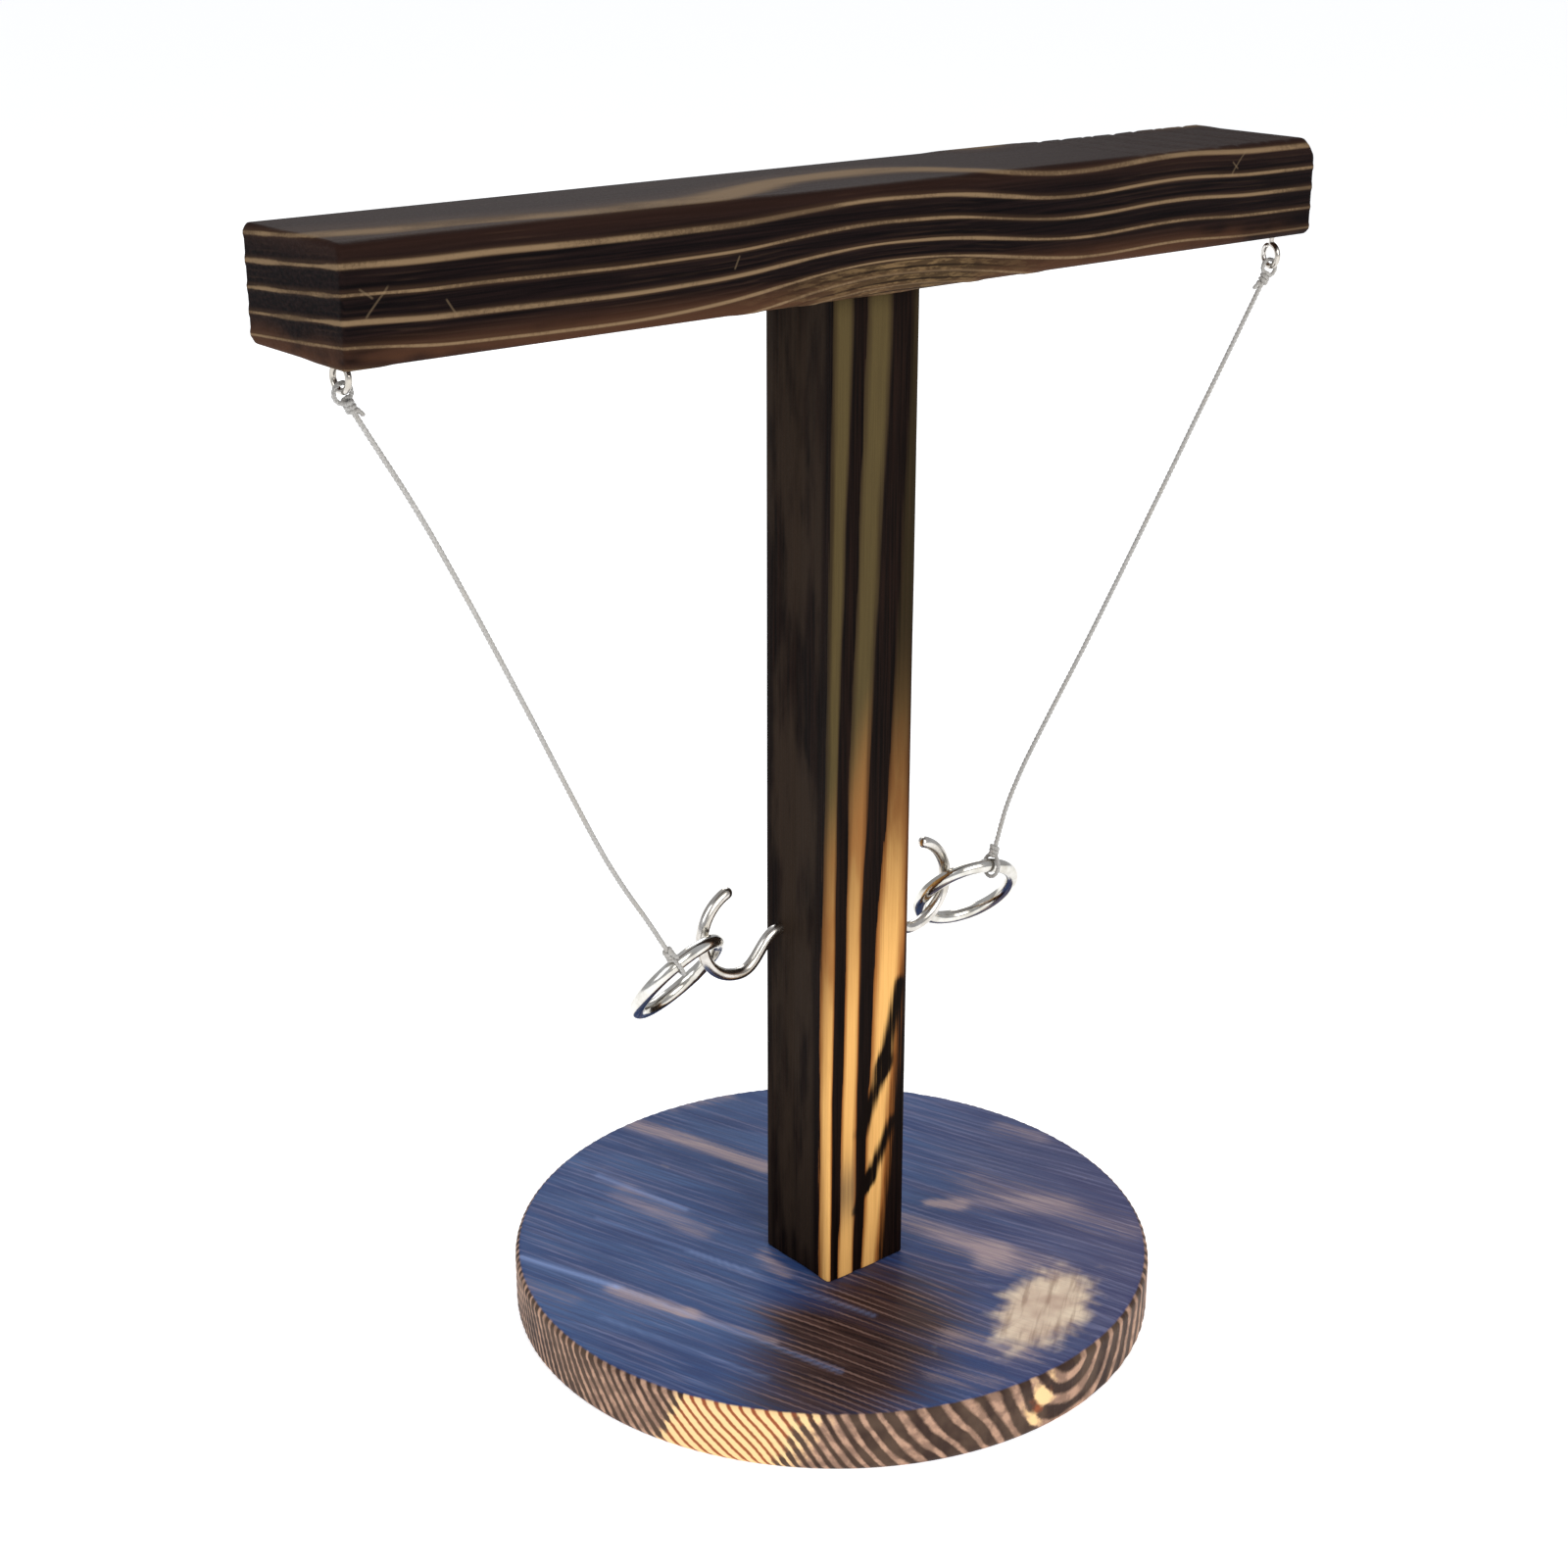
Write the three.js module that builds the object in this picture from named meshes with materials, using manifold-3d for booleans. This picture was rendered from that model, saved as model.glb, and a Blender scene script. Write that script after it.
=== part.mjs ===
// Hook-and-ring battle game: a post on a round base carries a crossbar. A ring hangs on a string
// from each end of the crossbar, and is caught on a hook in the side of the post.
// Millimetres, +Z up. The origin is on the floor, below the middle of the outer box.
// +X runs along the crossbar to the right, and -Y is the front.
import * as THREE from 'three';
import { mergeVertices } from 'three/addons/utils/BufferGeometryUtils.js';
import Module from 'manifold-3d';

const wasm = await Module();
wasm.setup();

// Wood
const BASE_RADIUS = 75;
const BASE_THICKNESS = 14;
const BASE_EDGE_ROUND = 1.6;
const BASE_CENTRE_X = 4; // the post doesn't stand quite in the middle of the base
const POST_Y = -6;
const POST_SIDE = 23;
const POST_EDGE_ROUND = 1.2;
const BEAM_LENGTH = 250;
const BEAM_WIDTH = 35;
const BEAM_HEIGHT = 22;
const BEAM_BOTTOM = 240;
const BEAM_EDGE_ROUND = 2;
const DOWEL_RADIUS = 3;
const DOWEL_LENGTH = 24;
const DOWEL_SPACING = 11;
const SCREW_SPACING = 10;
const SCREW_LENGTH = 38;
const SCREW_RADIUS = 1.9;
const SCREW_HEAD_RADIUS = 4;
const SCREW_HEAD_HEIGHT = 2.8;
const SCREW_RECESS = 0.8;
const FIT_GAP = 0.3;

// Hooks: wire that leaves the post level, dips, and sweeps up and over in one arc
const HOOK_WIRE = 1.4; // every WIRE is a radius
const HOOK_Z = 97.3;
const HOOK_DEPTH = 14;
const HOOK_ARC_RADIUS = 10.4;
const HOOK_ARC_OUT = 11.5; // the arc's centre from the post's face
const HOOK_ARC_UP = 2.8; // and above the shank
const HOOK_TIP_ANGLE = 77; // degrees above level, seen from the arc's centre
const HOOK_LEVEL_REACH = 5.5; // how far the bends at the dip's two ends reach
const HOOK_DIP_REACH = 5;
const HOOK_ARC_STEPS = 13;

// Rings
const RING_RADIUS = 11.4; // to the middle of the wire
const RING_WIRE = 1.65;
const RING_HANG = 18.3; // from the hook arc's centre to the ring's centre
const RING_DROOP = 20; // degrees below level, outwards
const RING_TURN = 50; // degrees from square across the hook's wire

// Screw eyes and strings
const EYE_RADIUS = 2.5;
const EYE_WIRE = 0.65;
const EYE_CENTRE_Z = 235.6;
const EYE_DEPTH = 9;
const STRING_RADIUS = 0.6;
const RING_LOOP_RADIUS = 2.6;
const TOP_LOOP_RADIUS = 1.9;
const KNOT_RADIUS = 1.3;
const KNOT_STRETCH = 1.25;

const radians = THREE.MathUtils.degToRad;
const vector = (x, y, z) => new THREE.Vector3(x, y, z);

// Each side's own places; side is -1 on the left and 1 on the right.
// route holds the points that the string runs through, from its top knot down to its ring knot.
const SIDES = [
  {
    name: 'left',
    side: -1,
    hookY: 0,
    eye: vector(-116.5, -6, EYE_CENTRE_Z),
    knotAngle: 76,
    route: [
      [-114.2, -6.0, 228.7], [-109.4, -6.1, 220.7], [-104.6, -6.2, 212.7], [-100.0, -6.2, 204.5],
      [-95.7, -6.3, 196.2], [-91.5, -6.4, 187.9], [-87.3, -6.4, 179.5], [-83.2, -6.5, 171.1],
      [-79.1, -6.6, 162.7], [-75.1, -6.6, 154.3], [-71.1, -6.7, 145.9], [-67.0, -6.8, 137.4],
      [-62.8, -6.8, 129.1], [-58.1, -6.9, 121.0], [-53.0, -7.0, 113.2], [-47.8, -7.0, 105.5],
    ],
  },
  {
    name: 'right',
    side: 1,
    hookY: -5,
    eye: vector(117.5, -18.5, EYE_CENTRE_Z),
    knotAngle: 100,
    route: [
      [115.0, -18.3, 228.8], [110.1, -17.9, 220.8], [105.1, -17.5, 212.7], [100.1, -17.1, 204.7],
      [95.1, -16.7, 196.7], [90.2, -16.3, 188.6], [85.2, -15.9, 180.6], [80.2, -15.5, 172.6],
      [75.2, -15.1, 164.6], [70.1, -14.7, 156.6], [65.0, -14.3, 148.7], [59.7, -13.9, 140.9],
      [54.4, -13.5, 133.0], [49.3, -13.1, 125.1], [45.0, -12.7, 116.7], [41.8, -12.3, 107.8],
    ],
  },
];
const STRING_STEPS = 60;

function finish(color, roughness, metalness) {
  return new THREE.MeshStandardMaterial({ color, roughness, metalness });
}

function named(name, geometry, material) {
  const mesh = new THREE.Mesh(geometry, material);
  mesh.name = name;
  return mesh;
}

// Booleans

function toSolid(geometry) {
  const bare = geometry.clone();
  bare.deleteAttribute('normal');
  bare.deleteAttribute('uv');
  const merged = mergeVertices(bare, 1e-4);
  return new wasm.Manifold(new wasm.Mesh({
    numProp: 3,
    vertProperties: new Float32Array(merged.attributes.position.array),
    triVerts: new Uint32Array(merged.index.array),
  }));
}

function toGeometry(solid) {
  const { vertProperties, triVerts } = solid.getMesh();
  const geometry = new THREE.BufferGeometry();
  geometry.setAttribute('position', new THREE.BufferAttribute(vertProperties, 3));
  geometry.setIndex(new THREE.BufferAttribute(triVerts, 1));
  geometry.computeVertexNormals();
  return geometry;
}

function cut(geometry, holes) {
  const left = holes.reduce((solid, hole) => solid.subtract(toSolid(hole)), toSolid(geometry));
  return toGeometry(left);
}

function join(first, second) {
  return toGeometry(toSolid(first).add(toSolid(second)));
}

// Shapes

function roundedRectangle(width, height, radius) {
  const [x, y] = [width / 2, height / 2];
  const shape = new THREE.Shape();
  shape.moveTo(-x + radius, -y);
  shape.absarc(x - radius, -y + radius, radius, -Math.PI / 2, 0);
  shape.absarc(x - radius, y - radius, radius, 0, Math.PI / 2);
  shape.absarc(-x + radius, y - radius, radius, Math.PI / 2, Math.PI);
  shape.absarc(-x + radius, -y + radius, radius, Math.PI, Math.PI * 1.5);
  return shape;
}

// A square-cut timber along +Z from 0, its long edges rounded and its ends eased by the same amount.
function timber(width, height, length, round, ease) {
  const geometry = new THREE.ExtrudeGeometry(roundedRectangle(width, height, round), {
    depth: length - 2 * ease,
    curveSegments: 3,
    bevelEnabled: ease > 0,
    bevelThickness: ease,
    bevelSize: ease,
    bevelOffset: -ease,
    bevelSegments: 2,
  });
  return geometry.translate(0, 0, ease);
}

// A turned body on the Z axis; profile holds [radius, height] from bottom to top.
function turned(profile, segments) {
  const points = profile.map(([radius, height]) => new THREE.Vector2(radius, height));
  return new THREE.LatheGeometry(points, segments).rotateX(Math.PI / 2);
}

function rod(radius, from, to, segments = 16) {
  return turned([[0, from], [radius, from], [radius, to], [0, to]], segments);
}

function tube(points, radius, sides, steps) {
  const section = new THREE.Shape().absarc(0, 0, radius, 0, Math.PI * 2);
  const outline = new THREE.Shape(section.getSpacedPoints(sides).slice(0, sides));
  const extrudePath = new THREE.CatmullRomCurve3(points, false, 'centripetal');
  return new THREE.ExtrudeGeometry(outline, { extrudePath, steps, curveSegments: 1 });
}

// A round loop about centre, in the plane square to axis.
function loop(centre, axis, radius, wire, sides, segments) {
  const turn = new THREE.Quaternion().setFromUnitVectors(vector(0, 0, 1), axis);
  const geometry = new THREE.TorusGeometry(radius, wire, sides, segments).applyQuaternion(turn);
  return geometry.translate(...centre);
}

// Wood and its fastenings

function screwProfile(extra) {
  const shank = SCREW_RADIUS + extra;
  const head = SCREW_HEAD_RADIUS + extra;
  const point = SCREW_LENGTH + extra;
  return [[0, 0], [head, 0], [shank, SCREW_HEAD_HEIGHT], [shank, point - 3], [0, point]];
}

function screwPlace(end) {
  return vector(0, POST_Y + end * SCREW_SPACING / 2, SCREW_RECESS);
}

function screwHole(end) {
  const bore = turned(screwProfile(FIT_GAP), 20).translate(...screwPlace(end));
  const mouth = rod(SCREW_HEAD_RADIUS + FIT_GAP, -1, SCREW_RECESS + 0.01, 20);
  return join(bore, mouth.translate(0, POST_Y + end * SCREW_SPACING / 2, 0));
}

function dowelPlace(side) {
  return vector(side * DOWEL_SPACING / 2, POST_Y, BEAM_BOTTOM - DOWEL_LENGTH / 2);
}

function dowelHole(side) {
  const hole = rod(DOWEL_RADIUS + FIT_GAP, -FIT_GAP, DOWEL_LENGTH + FIT_GAP, 20);
  return hole.translate(...dowelPlace(side));
}

function baseDisc() {
  const corner = (centre, start) => [0, 30, 60, 90].map((step) => {
    const angle = radians(start + step);
    const radius = BASE_RADIUS - BASE_EDGE_ROUND + BASE_EDGE_ROUND * Math.cos(angle);
    return [radius, centre + BASE_EDGE_ROUND * Math.sin(angle)];
  });
  const lower = corner(BASE_EDGE_ROUND, -90);
  const upper = corner(BASE_THICKNESS - BASE_EDGE_ROUND, 0);
  const disc = turned([[0, 0], ...lower, ...upper, [0, BASE_THICKNESS]], 72);
  return cut(disc.translate(BASE_CENTRE_X, 0, 0), [screwHole(-1), screwHole(1)]);
}

function hookHole({ side, hookY }) {
  const hole = rod(HOOK_WIRE + FIT_GAP, 0, HOOK_DEPTH + FIT_GAP + 1).rotateY(-side * Math.PI / 2);
  return hole.translate(side * (POST_SIDE / 2 + 1), hookY, HOOK_Z);
}

function post() {
  const height = BEAM_BOTTOM - BASE_THICKNESS;
  const timberPiece = timber(POST_SIDE, POST_SIDE, height, POST_EDGE_ROUND, 0);
  timberPiece.translate(0, POST_Y, BASE_THICKNESS);
  const holes = [screwHole(-1), screwHole(1), dowelHole(-1), dowelHole(1), ...SIDES.map(hookHole)];
  return cut(timberPiece, holes);
}

function eyeHole({ eye }) {
  const top = BEAM_BOTTOM + EYE_DEPTH + FIT_GAP;
  return rod(EYE_WIRE + FIT_GAP, BEAM_BOTTOM - 1, top).translate(eye.x, eye.y, 0);
}

function crossbar() {
  const beam = timber(BEAM_HEIGHT, BEAM_WIDTH, BEAM_LENGTH, BEAM_EDGE_ROUND, BEAM_EDGE_ROUND / 2);
  beam.translate(0, 0, -BEAM_LENGTH / 2).rotateY(Math.PI / 2);
  beam.translate(0, POST_Y, BEAM_BOTTOM + BEAM_HEIGHT / 2);
  return cut(beam, [dowelHole(-1), dowelHole(1), ...SIDES.map(eyeHole)]);
}

// Hooks

function hookCentre({ side, hookY }) {
  return vector(side * (POST_SIDE / 2 + HOOK_ARC_OUT), hookY, HOOK_Z + HOOK_ARC_UP);
}

function hookPath(spec) {
  const { side, hookY } = spec;
  const centre = hookCentre(spec);
  const face = vector(side * POST_SIDE / 2, hookY, HOOK_Z);
  const lowest = centre.clone().add(vector(0, 0, -HOOK_ARC_RADIUS));
  const dip = new THREE.CubicBezierCurve3(
    face,
    face.clone().add(vector(side * HOOK_LEVEL_REACH, 0, 0)),
    lowest.clone().add(vector(-side * HOOK_DIP_REACH, 0, 0)),
    lowest,
  );
  const points = [face.clone().add(vector(-side * HOOK_DEPTH, 0, 0))];
  points.push(face.clone().add(vector(-side * HOOK_DEPTH / 2, 0, 0)), ...dip.getPoints(8));
  for (let step = 1; step <= HOOK_ARC_STEPS; step += 1) {
    const angle = radians(-90 + (step * (90 + HOOK_TIP_ANGLE)) / HOOK_ARC_STEPS);
    const spoke = vector(side * Math.cos(angle), 0, Math.sin(angle));
    points.push(centre.clone().addScaledVector(spoke, HOOK_ARC_RADIUS));
  }
  return points;
}

function hook(spec) {
  return tube(hookPath(spec), HOOK_WIRE, 12, 46);
}

// Rings

// The ring's centre and three directions: away from the hook, along its plane, and square to it.
function ringPose(spec) {
  const droop = radians(RING_DROOP);
  const turn = radians(RING_TURN);
  const mirror = (v) => vector(v.x * spec.side, v.y, v.z);
  const away = vector(Math.cos(droop), 0, -Math.sin(droop));
  const wire = vector(Math.sin(droop), 0, Math.cos(droop));
  const normal = wire.multiplyScalar(Math.cos(turn)).add(vector(0, Math.sin(turn), 0));
  const across = away.clone().cross(normal);
  const pose = { away: mirror(away), across: mirror(across), normal: mirror(normal) };
  pose.centre = hookCentre(spec).addScaledVector(pose.away, RING_HANG);
  return pose;
}

function ring(spec) {
  const { centre, normal } = ringPose(spec);
  return loop(centre, normal, RING_RADIUS, RING_WIRE, 10, 44);
}

// Screw eyes

function eyeAxis(spec) {
  const run = ringPose(spec).centre.sub(spec.eye);
  return vector(run.x, run.y, 0).normalize();
}

function screwEye(spec) {
  const { eye } = spec;
  const bow = loop(eye, eyeAxis(spec), EYE_RADIUS, EYE_WIRE, 8, 24);
  const bottom = eye.z + EYE_RADIUS;
  const top = BEAM_BOTTOM + EYE_DEPTH;
  return join(bow, rod(EYE_WIRE, bottom, top, 12).translate(eye.x, eye.y, 0));
}

// Strings

// Where the string's two loops sit, and which way it leaves each of them.
function stringEnds(spec) {
  const { centre, away, across } = ringPose(spec);
  const angle = radians(spec.knotAngle);
  const outward = away.clone().multiplyScalar(Math.cos(angle)).addScaledVector(across, Math.sin(angle));
  const tangent = across.clone().multiplyScalar(Math.cos(angle)).addScaledVector(away, -Math.sin(angle));
  const low = centre.clone().addScaledVector(outward, RING_RADIUS);
  const axis = eyeAxis(spec);
  const wireToLoop = EYE_WIRE + STRING_RADIUS + FIT_GAP;
  const down = low.clone().sub(spec.eye).normalize();
  const high = spec.eye.clone().add(vector(0, 0, -EYE_RADIUS));
  high.addScaledVector(down, TOP_LOOP_RADIUS - wireToLoop);
  const side = vector(axis.y, -axis.x, 0);
  const back = high.clone().sub(low);
  const upAlong = back.clone().addScaledVector(tangent, -back.dot(tangent)).normalize();
  return {
    low: { centre: low, leaves: upAlong, axis: tangent, radius: RING_LOOP_RADIUS },
    high: { centre: high, leaves: down, axis: side, radius: TOP_LOOP_RADIUS },
  };
}

function knotCentre({ centre, leaves, radius }) {
  return centre.clone().addScaledVector(leaves, radius + KNOT_RADIUS * 0.6);
}

function knot(end) {
  const turn = new THREE.Quaternion().setFromUnitVectors(vector(0, 0, 1), end.leaves);
  const ball = new THREE.SphereGeometry(KNOT_RADIUS, 12, 8).rotateX(Math.PI / 2);
  ball.scale(1, 1, KNOT_STRETCH).applyQuaternion(turn).translate(...knotCentre(end));
  return join(loop(end.centre, end.axis, end.radius, STRING_RADIUS, 8, 20), ball);
}

function stringTube(spec) {
  return tube(spec.route.map((point) => vector(...point)), STRING_RADIUS, 8, STRING_STEPS);
}

// The whole game

const game = new THREE.Group();

const darkWood = () => finish(0x2a1a12, 0.35, 0);
game.add(named('base_disc', baseDisc(), finish(0x3a3a4a, 0.3, 0)));
game.add(named('post', post(), finish(0x6e4c28, 0.35, 0)));
game.add(named('crossbar', crossbar(), darkWood()));

for (const [name, end] of [['front', -1], ['rear', 1]]) {
  const screw = turned(screwProfile(0), 20);
  const mesh = named(`${name}_base_screw`, screw, finish(0xb8b4a8, 0.35, 0.9));
  mesh.position.copy(screwPlace(end));
  game.add(mesh);
}

for (const spec of SIDES) {
  const dowel = rod(DOWEL_RADIUS, 0, DOWEL_LENGTH, 20);
  const dowelMesh = named(`${spec.name}_dowel`, dowel, finish(0xc9a77a, 0.7, 0));
  dowelMesh.position.copy(dowelPlace(spec.side));
  game.add(dowelMesh);
  const ends = stringEnds(spec);
  const nickel = () => finish(0xc8c6c0, 0.2, 1);
  const cotton = () => finish(0xd8d8d4, 0.8, 0);
  game.add(named(`${spec.name}_hook`, hook(spec), nickel()));
  game.add(named(`${spec.name}_ring`, ring(spec), nickel()));
  game.add(named(`${spec.name}_screw_eye`, screwEye(spec), nickel()));
  game.add(named(`${spec.name}_top_knot`, knot(ends.high), cotton()));
  game.add(named(`${spec.name}_ring_knot`, knot(ends.low), cotton()));
  game.add(named(`${spec.name}_string`, stringTube(spec), cotton()));
}

export default game;
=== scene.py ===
# %% [markdown]
# # A hook-and-ring battle game in charred pine
# Two players swing a ring on a string until it catches a hook on the post. The real set is
# a round foot, a square post and a crossbar of torched and brushed softwood, with bent wire
# hooks, screw eyes, welded rings and cotton string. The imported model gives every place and
# size. This lesson builds finer wood, wire and string around it, and paints them.

# %% Load the frame
import math

import bpy
import numpy as np
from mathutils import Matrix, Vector


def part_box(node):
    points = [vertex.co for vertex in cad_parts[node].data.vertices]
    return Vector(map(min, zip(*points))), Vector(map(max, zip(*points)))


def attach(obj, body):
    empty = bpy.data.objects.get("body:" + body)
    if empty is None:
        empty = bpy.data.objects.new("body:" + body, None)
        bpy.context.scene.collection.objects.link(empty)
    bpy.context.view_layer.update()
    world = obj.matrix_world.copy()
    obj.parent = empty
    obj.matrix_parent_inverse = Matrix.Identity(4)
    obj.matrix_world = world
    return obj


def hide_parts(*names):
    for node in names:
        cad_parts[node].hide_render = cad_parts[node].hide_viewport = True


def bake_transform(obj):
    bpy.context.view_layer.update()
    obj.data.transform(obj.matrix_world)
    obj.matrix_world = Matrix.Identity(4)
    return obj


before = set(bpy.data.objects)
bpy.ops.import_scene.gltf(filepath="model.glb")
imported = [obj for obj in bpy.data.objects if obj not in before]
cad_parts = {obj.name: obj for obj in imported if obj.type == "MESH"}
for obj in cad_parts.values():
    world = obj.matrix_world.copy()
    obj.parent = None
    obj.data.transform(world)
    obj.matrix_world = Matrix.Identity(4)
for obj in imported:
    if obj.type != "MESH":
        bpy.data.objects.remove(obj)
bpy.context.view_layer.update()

MM = 0.001

# %% [markdown]
# ## Camera
# The set is seen from its front left corner, a little above the crossbar. A camera that is
# tipped down, with no shift, keeps the set in the middle of every other view as well.

# %% Camera
CAMERA_PLACE = (-0.33448, -0.40076, 0.32688)
CAMERA_TURN = 38.957  # degrees to the right of +Y
CAMERA_TIP = 20.770  # degrees below level
CAMERA_LENS = 57.89

camera = bpy.data.objects.new("camera", bpy.data.cameras.new("camera"))
bpy.context.scene.collection.objects.link(camera)
camera.location = CAMERA_PLACE
camera.rotation_euler = (math.radians(90 - CAMERA_TIP), 0, -math.radians(CAMERA_TURN))
camera.data.lens = CAMERA_LENS
camera.data.sensor_width = 36
bpy.context.scene.camera = camera
print("camera", tuple(round(x, 3) for x in camera.location))

# %% [markdown]
# ## Measures
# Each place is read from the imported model's boxes, in millimetres, because wood and wire
# are easier to think about in them. A mesh is scaled to metres when it is made.

# %% Measures from the frame
def box_of(node):
    """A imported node's lowest and highest corner, in millimetres."""
    low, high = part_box(node)
    return np.array(low) / MM, np.array(high) / MM


def unit(vector):
    """The vector at length one."""
    vector = np.asarray(vector, float)
    return vector / np.linalg.norm(vector)


base_low, base_high = box_of("base_disc")
post_low, post_high = box_of("post")
beam_low, beam_high = box_of("crossbar")
BASE_MIDDLE = (base_low + base_high) / 2
BASE_RADIUS = (base_high[0] - base_low[0]) / 2
BASE_TOP = base_high[2]
POST_SIDE = post_high[0] - post_low[0]
print("base radius", round(BASE_RADIUS, 2), "post side", round(POST_SIDE, 2))

# %% [markdown]
# ## From points to meshes
# Wire, string and turned or planed wood can all be made as rings of points that follow one
# another, with faces between each ring and the next. One function makes those faces and
# closes both ends, so that every piece is a closed shell.

# %% Rings of points become a piece
ASKEW = (0.31, 0.22, 0.93)  # a direction that no wire or string here starts in
TIP = 0.08  # how wide the last ring of a domed end is, as a share of the tube
DOME_RINGS = (0, 0.03, 0.12, 0.3, 0.6)  # how far from the end they are, in radii


def turn_outwards(mesh):
    """Flips the faces of a closed mesh if they look inwards, which its signed volume tells."""
    mesh.calc_loop_triangles()
    corners = np.zeros(len(mesh.loop_triangles) * 3, np.int32)
    mesh.loop_triangles.foreach_get("vertices", corners)
    places = np.zeros(len(mesh.vertices) * 3, np.float32)
    mesh.vertices.foreach_get("co", places)
    a, b, c = places.reshape(-1, 3).astype(float)[corners.reshape(-1, 3)].transpose(1, 0, 2)
    if np.einsum("ij,ij->i", a, np.cross(b, c)).sum() < 0:
        mesh.flip_normals()


def piece_from(name, points, faces, marks=None):
    """A smooth mesh object from points in millimetres. A mark has a value for each point."""
    mesh = bpy.data.meshes.new(name)
    mesh.from_pydata((np.asarray(points) * MM).tolist(), [], faces)
    for mark, values in (marks or {}).items():
        layer = mesh.attributes.new(mark, "FLOAT", "POINT")
        layer.data.foreach_set("value", np.asarray(values, np.float32))
    mesh.shade_smooth()
    turn_outwards(mesh)
    made = bpy.data.objects.new(name, mesh)
    bpy.context.scene.collection.objects.link(made)
    return made


def faces_between(rings, around, first=0, closed=False):
    """Quads from each ring to the next. Both ends are capped unless the rings go full circle."""
    step = np.arange(around)
    quads = []
    for ring in range(rings if closed else rings - 1):
        here = first + ring * around + step
        there = first + ((ring + 1) % rings) * around + step
        quads += np.stack([here, np.roll(here, -1), np.roll(there, -1), there], 1).tolist()
    if not closed:
        quads.append((first + step[::-1]).tolist())
        quads.append((first + (rings - 1) * around + step).tolist())
    return quads


def run_of(path):
    """How far along the path each of its points is."""
    return np.concatenate([[0], np.cumsum(np.linalg.norm(np.diff(path, axis=0), axis=1))])


def points_at(path, wanted):
    """The points that far along the path."""
    run = run_of(path)
    return np.stack([np.interp(wanted, run, path[:, k]) for k in range(3)], 1)


def spaced(path, step):
    """The same path with points about one step apart."""
    path = np.asarray(path, float)
    total = run_of(path)[-1]
    return points_at(path, np.linspace(0, total, max(3, int(round(total / step)) + 1)))


def eased(path, rounds):
    """The path with its corners smoothed out and its two ends left where they are."""
    path = np.array(path, float)
    for _ in range(rounds):
        path[1:-1] = 0.25 * path[:-2] + 0.5 * path[1:-1] + 0.25 * path[2:]
    return path


def length_of(path):
    """A path's length."""
    return float(run_of(path)[-1])


def frames_along(path):
    """Two directions at each point, square to the path and to each other, without a twist."""
    ahead = np.gradient(path, axis=0)
    ahead /= np.linalg.norm(ahead, axis=1)[:, None]
    side = np.cross(ahead[0], ASKEW)
    sides = []
    for direction in ahead:
        side = unit(side - direction * side.dot(direction))
        sides.append(side)
    return sides, np.cross(ahead, sides)


def tube_points(path, radius, around, strands=0, pitch=1.0, depth=0.0):
    """Rings round the path with domed ends. Strands give it the lay of a twisted yarn."""
    sides, ups = frames_along(path)
    run = run_of(path)
    angles = np.linspace(0, 2 * np.pi, around, endpoint=False)
    rings = []
    for place, far, side, up in zip(path, run, sides, ups):
        from_end = min(far, run[-1] - far)
        dome = math.sqrt(max(0.0, 1 - (1 - min(1.0, from_end / radius)) ** 2))
        lobes = 1 + depth * (np.cos(strands * (angles - 2 * np.pi * far / pitch)) - 1) / 2
        across = np.cos(angles)[:, None] * side + np.sin(angles)[:, None] * up
        rings.append(place + across * (radius * max(dome, TIP) * lobes)[:, None])
    return np.concatenate(rings)


def tube(name, path, radius, around, step, **lay):
    """A closed tube along a path, with finer rings at its two domed ends."""
    path = spaced(path, step)
    run = run_of(path)
    ends = [radius * share for share in DOME_RINGS]
    between = run[(run > radius) & (run < run[-1] - radius)]
    path = points_at(path, sorted({*ends, *(run[-1] - end for end in ends), *between}))
    points = tube_points(path, radius, around, **lay)
    return piece_from(name, points, faces_between(len(path), around)), path


print("a ring of four points and the next:", faces_between(2, 4))


# %% [markdown]
# ## Where hooks, rings and strings go
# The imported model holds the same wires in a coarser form. Their lines are laid out again
# here from the same few measures, so that the finer ones sit in the same places.

# %% Lines of the hooks and rings
HOOK_HEIGHT = 97.3
HOOK_DEPTH = 14
HOOK_ARC = 10.4
HOOK_ARC_OUT = 11.5
HOOK_ARC_UP = 2.8
HOOK_TIP = 77
RING_HANG = 18.3
RING_DROOP = math.radians(20)
RING_TURN = math.radians(50)
RING_RADIUS = 11.4
EYE_RADIUS = 2.5
EYE_HEIGHT = 235.6
EYE_WIRE = 0.65
STRING_WIDE = 1.2
HANDS = {
    "left": {"side": -1, "hook_y": 0, "eye": (-116.5, -6), "knot_angle": 76},
    "right": {"side": 1, "hook_y": -5, "eye": (117.5, -18.5), "knot_angle": 100},
}


def curve_through(a, b, c, d, count):
    """A cubic curve from a to d that leaves towards b and arrives from c."""
    t = np.linspace(0, 1, count)[:, None]
    return (1 - t) ** 3 * a + 3 * (1 - t) ** 2 * t * b + 3 * (1 - t) * t**2 * c + t**3 * d


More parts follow.
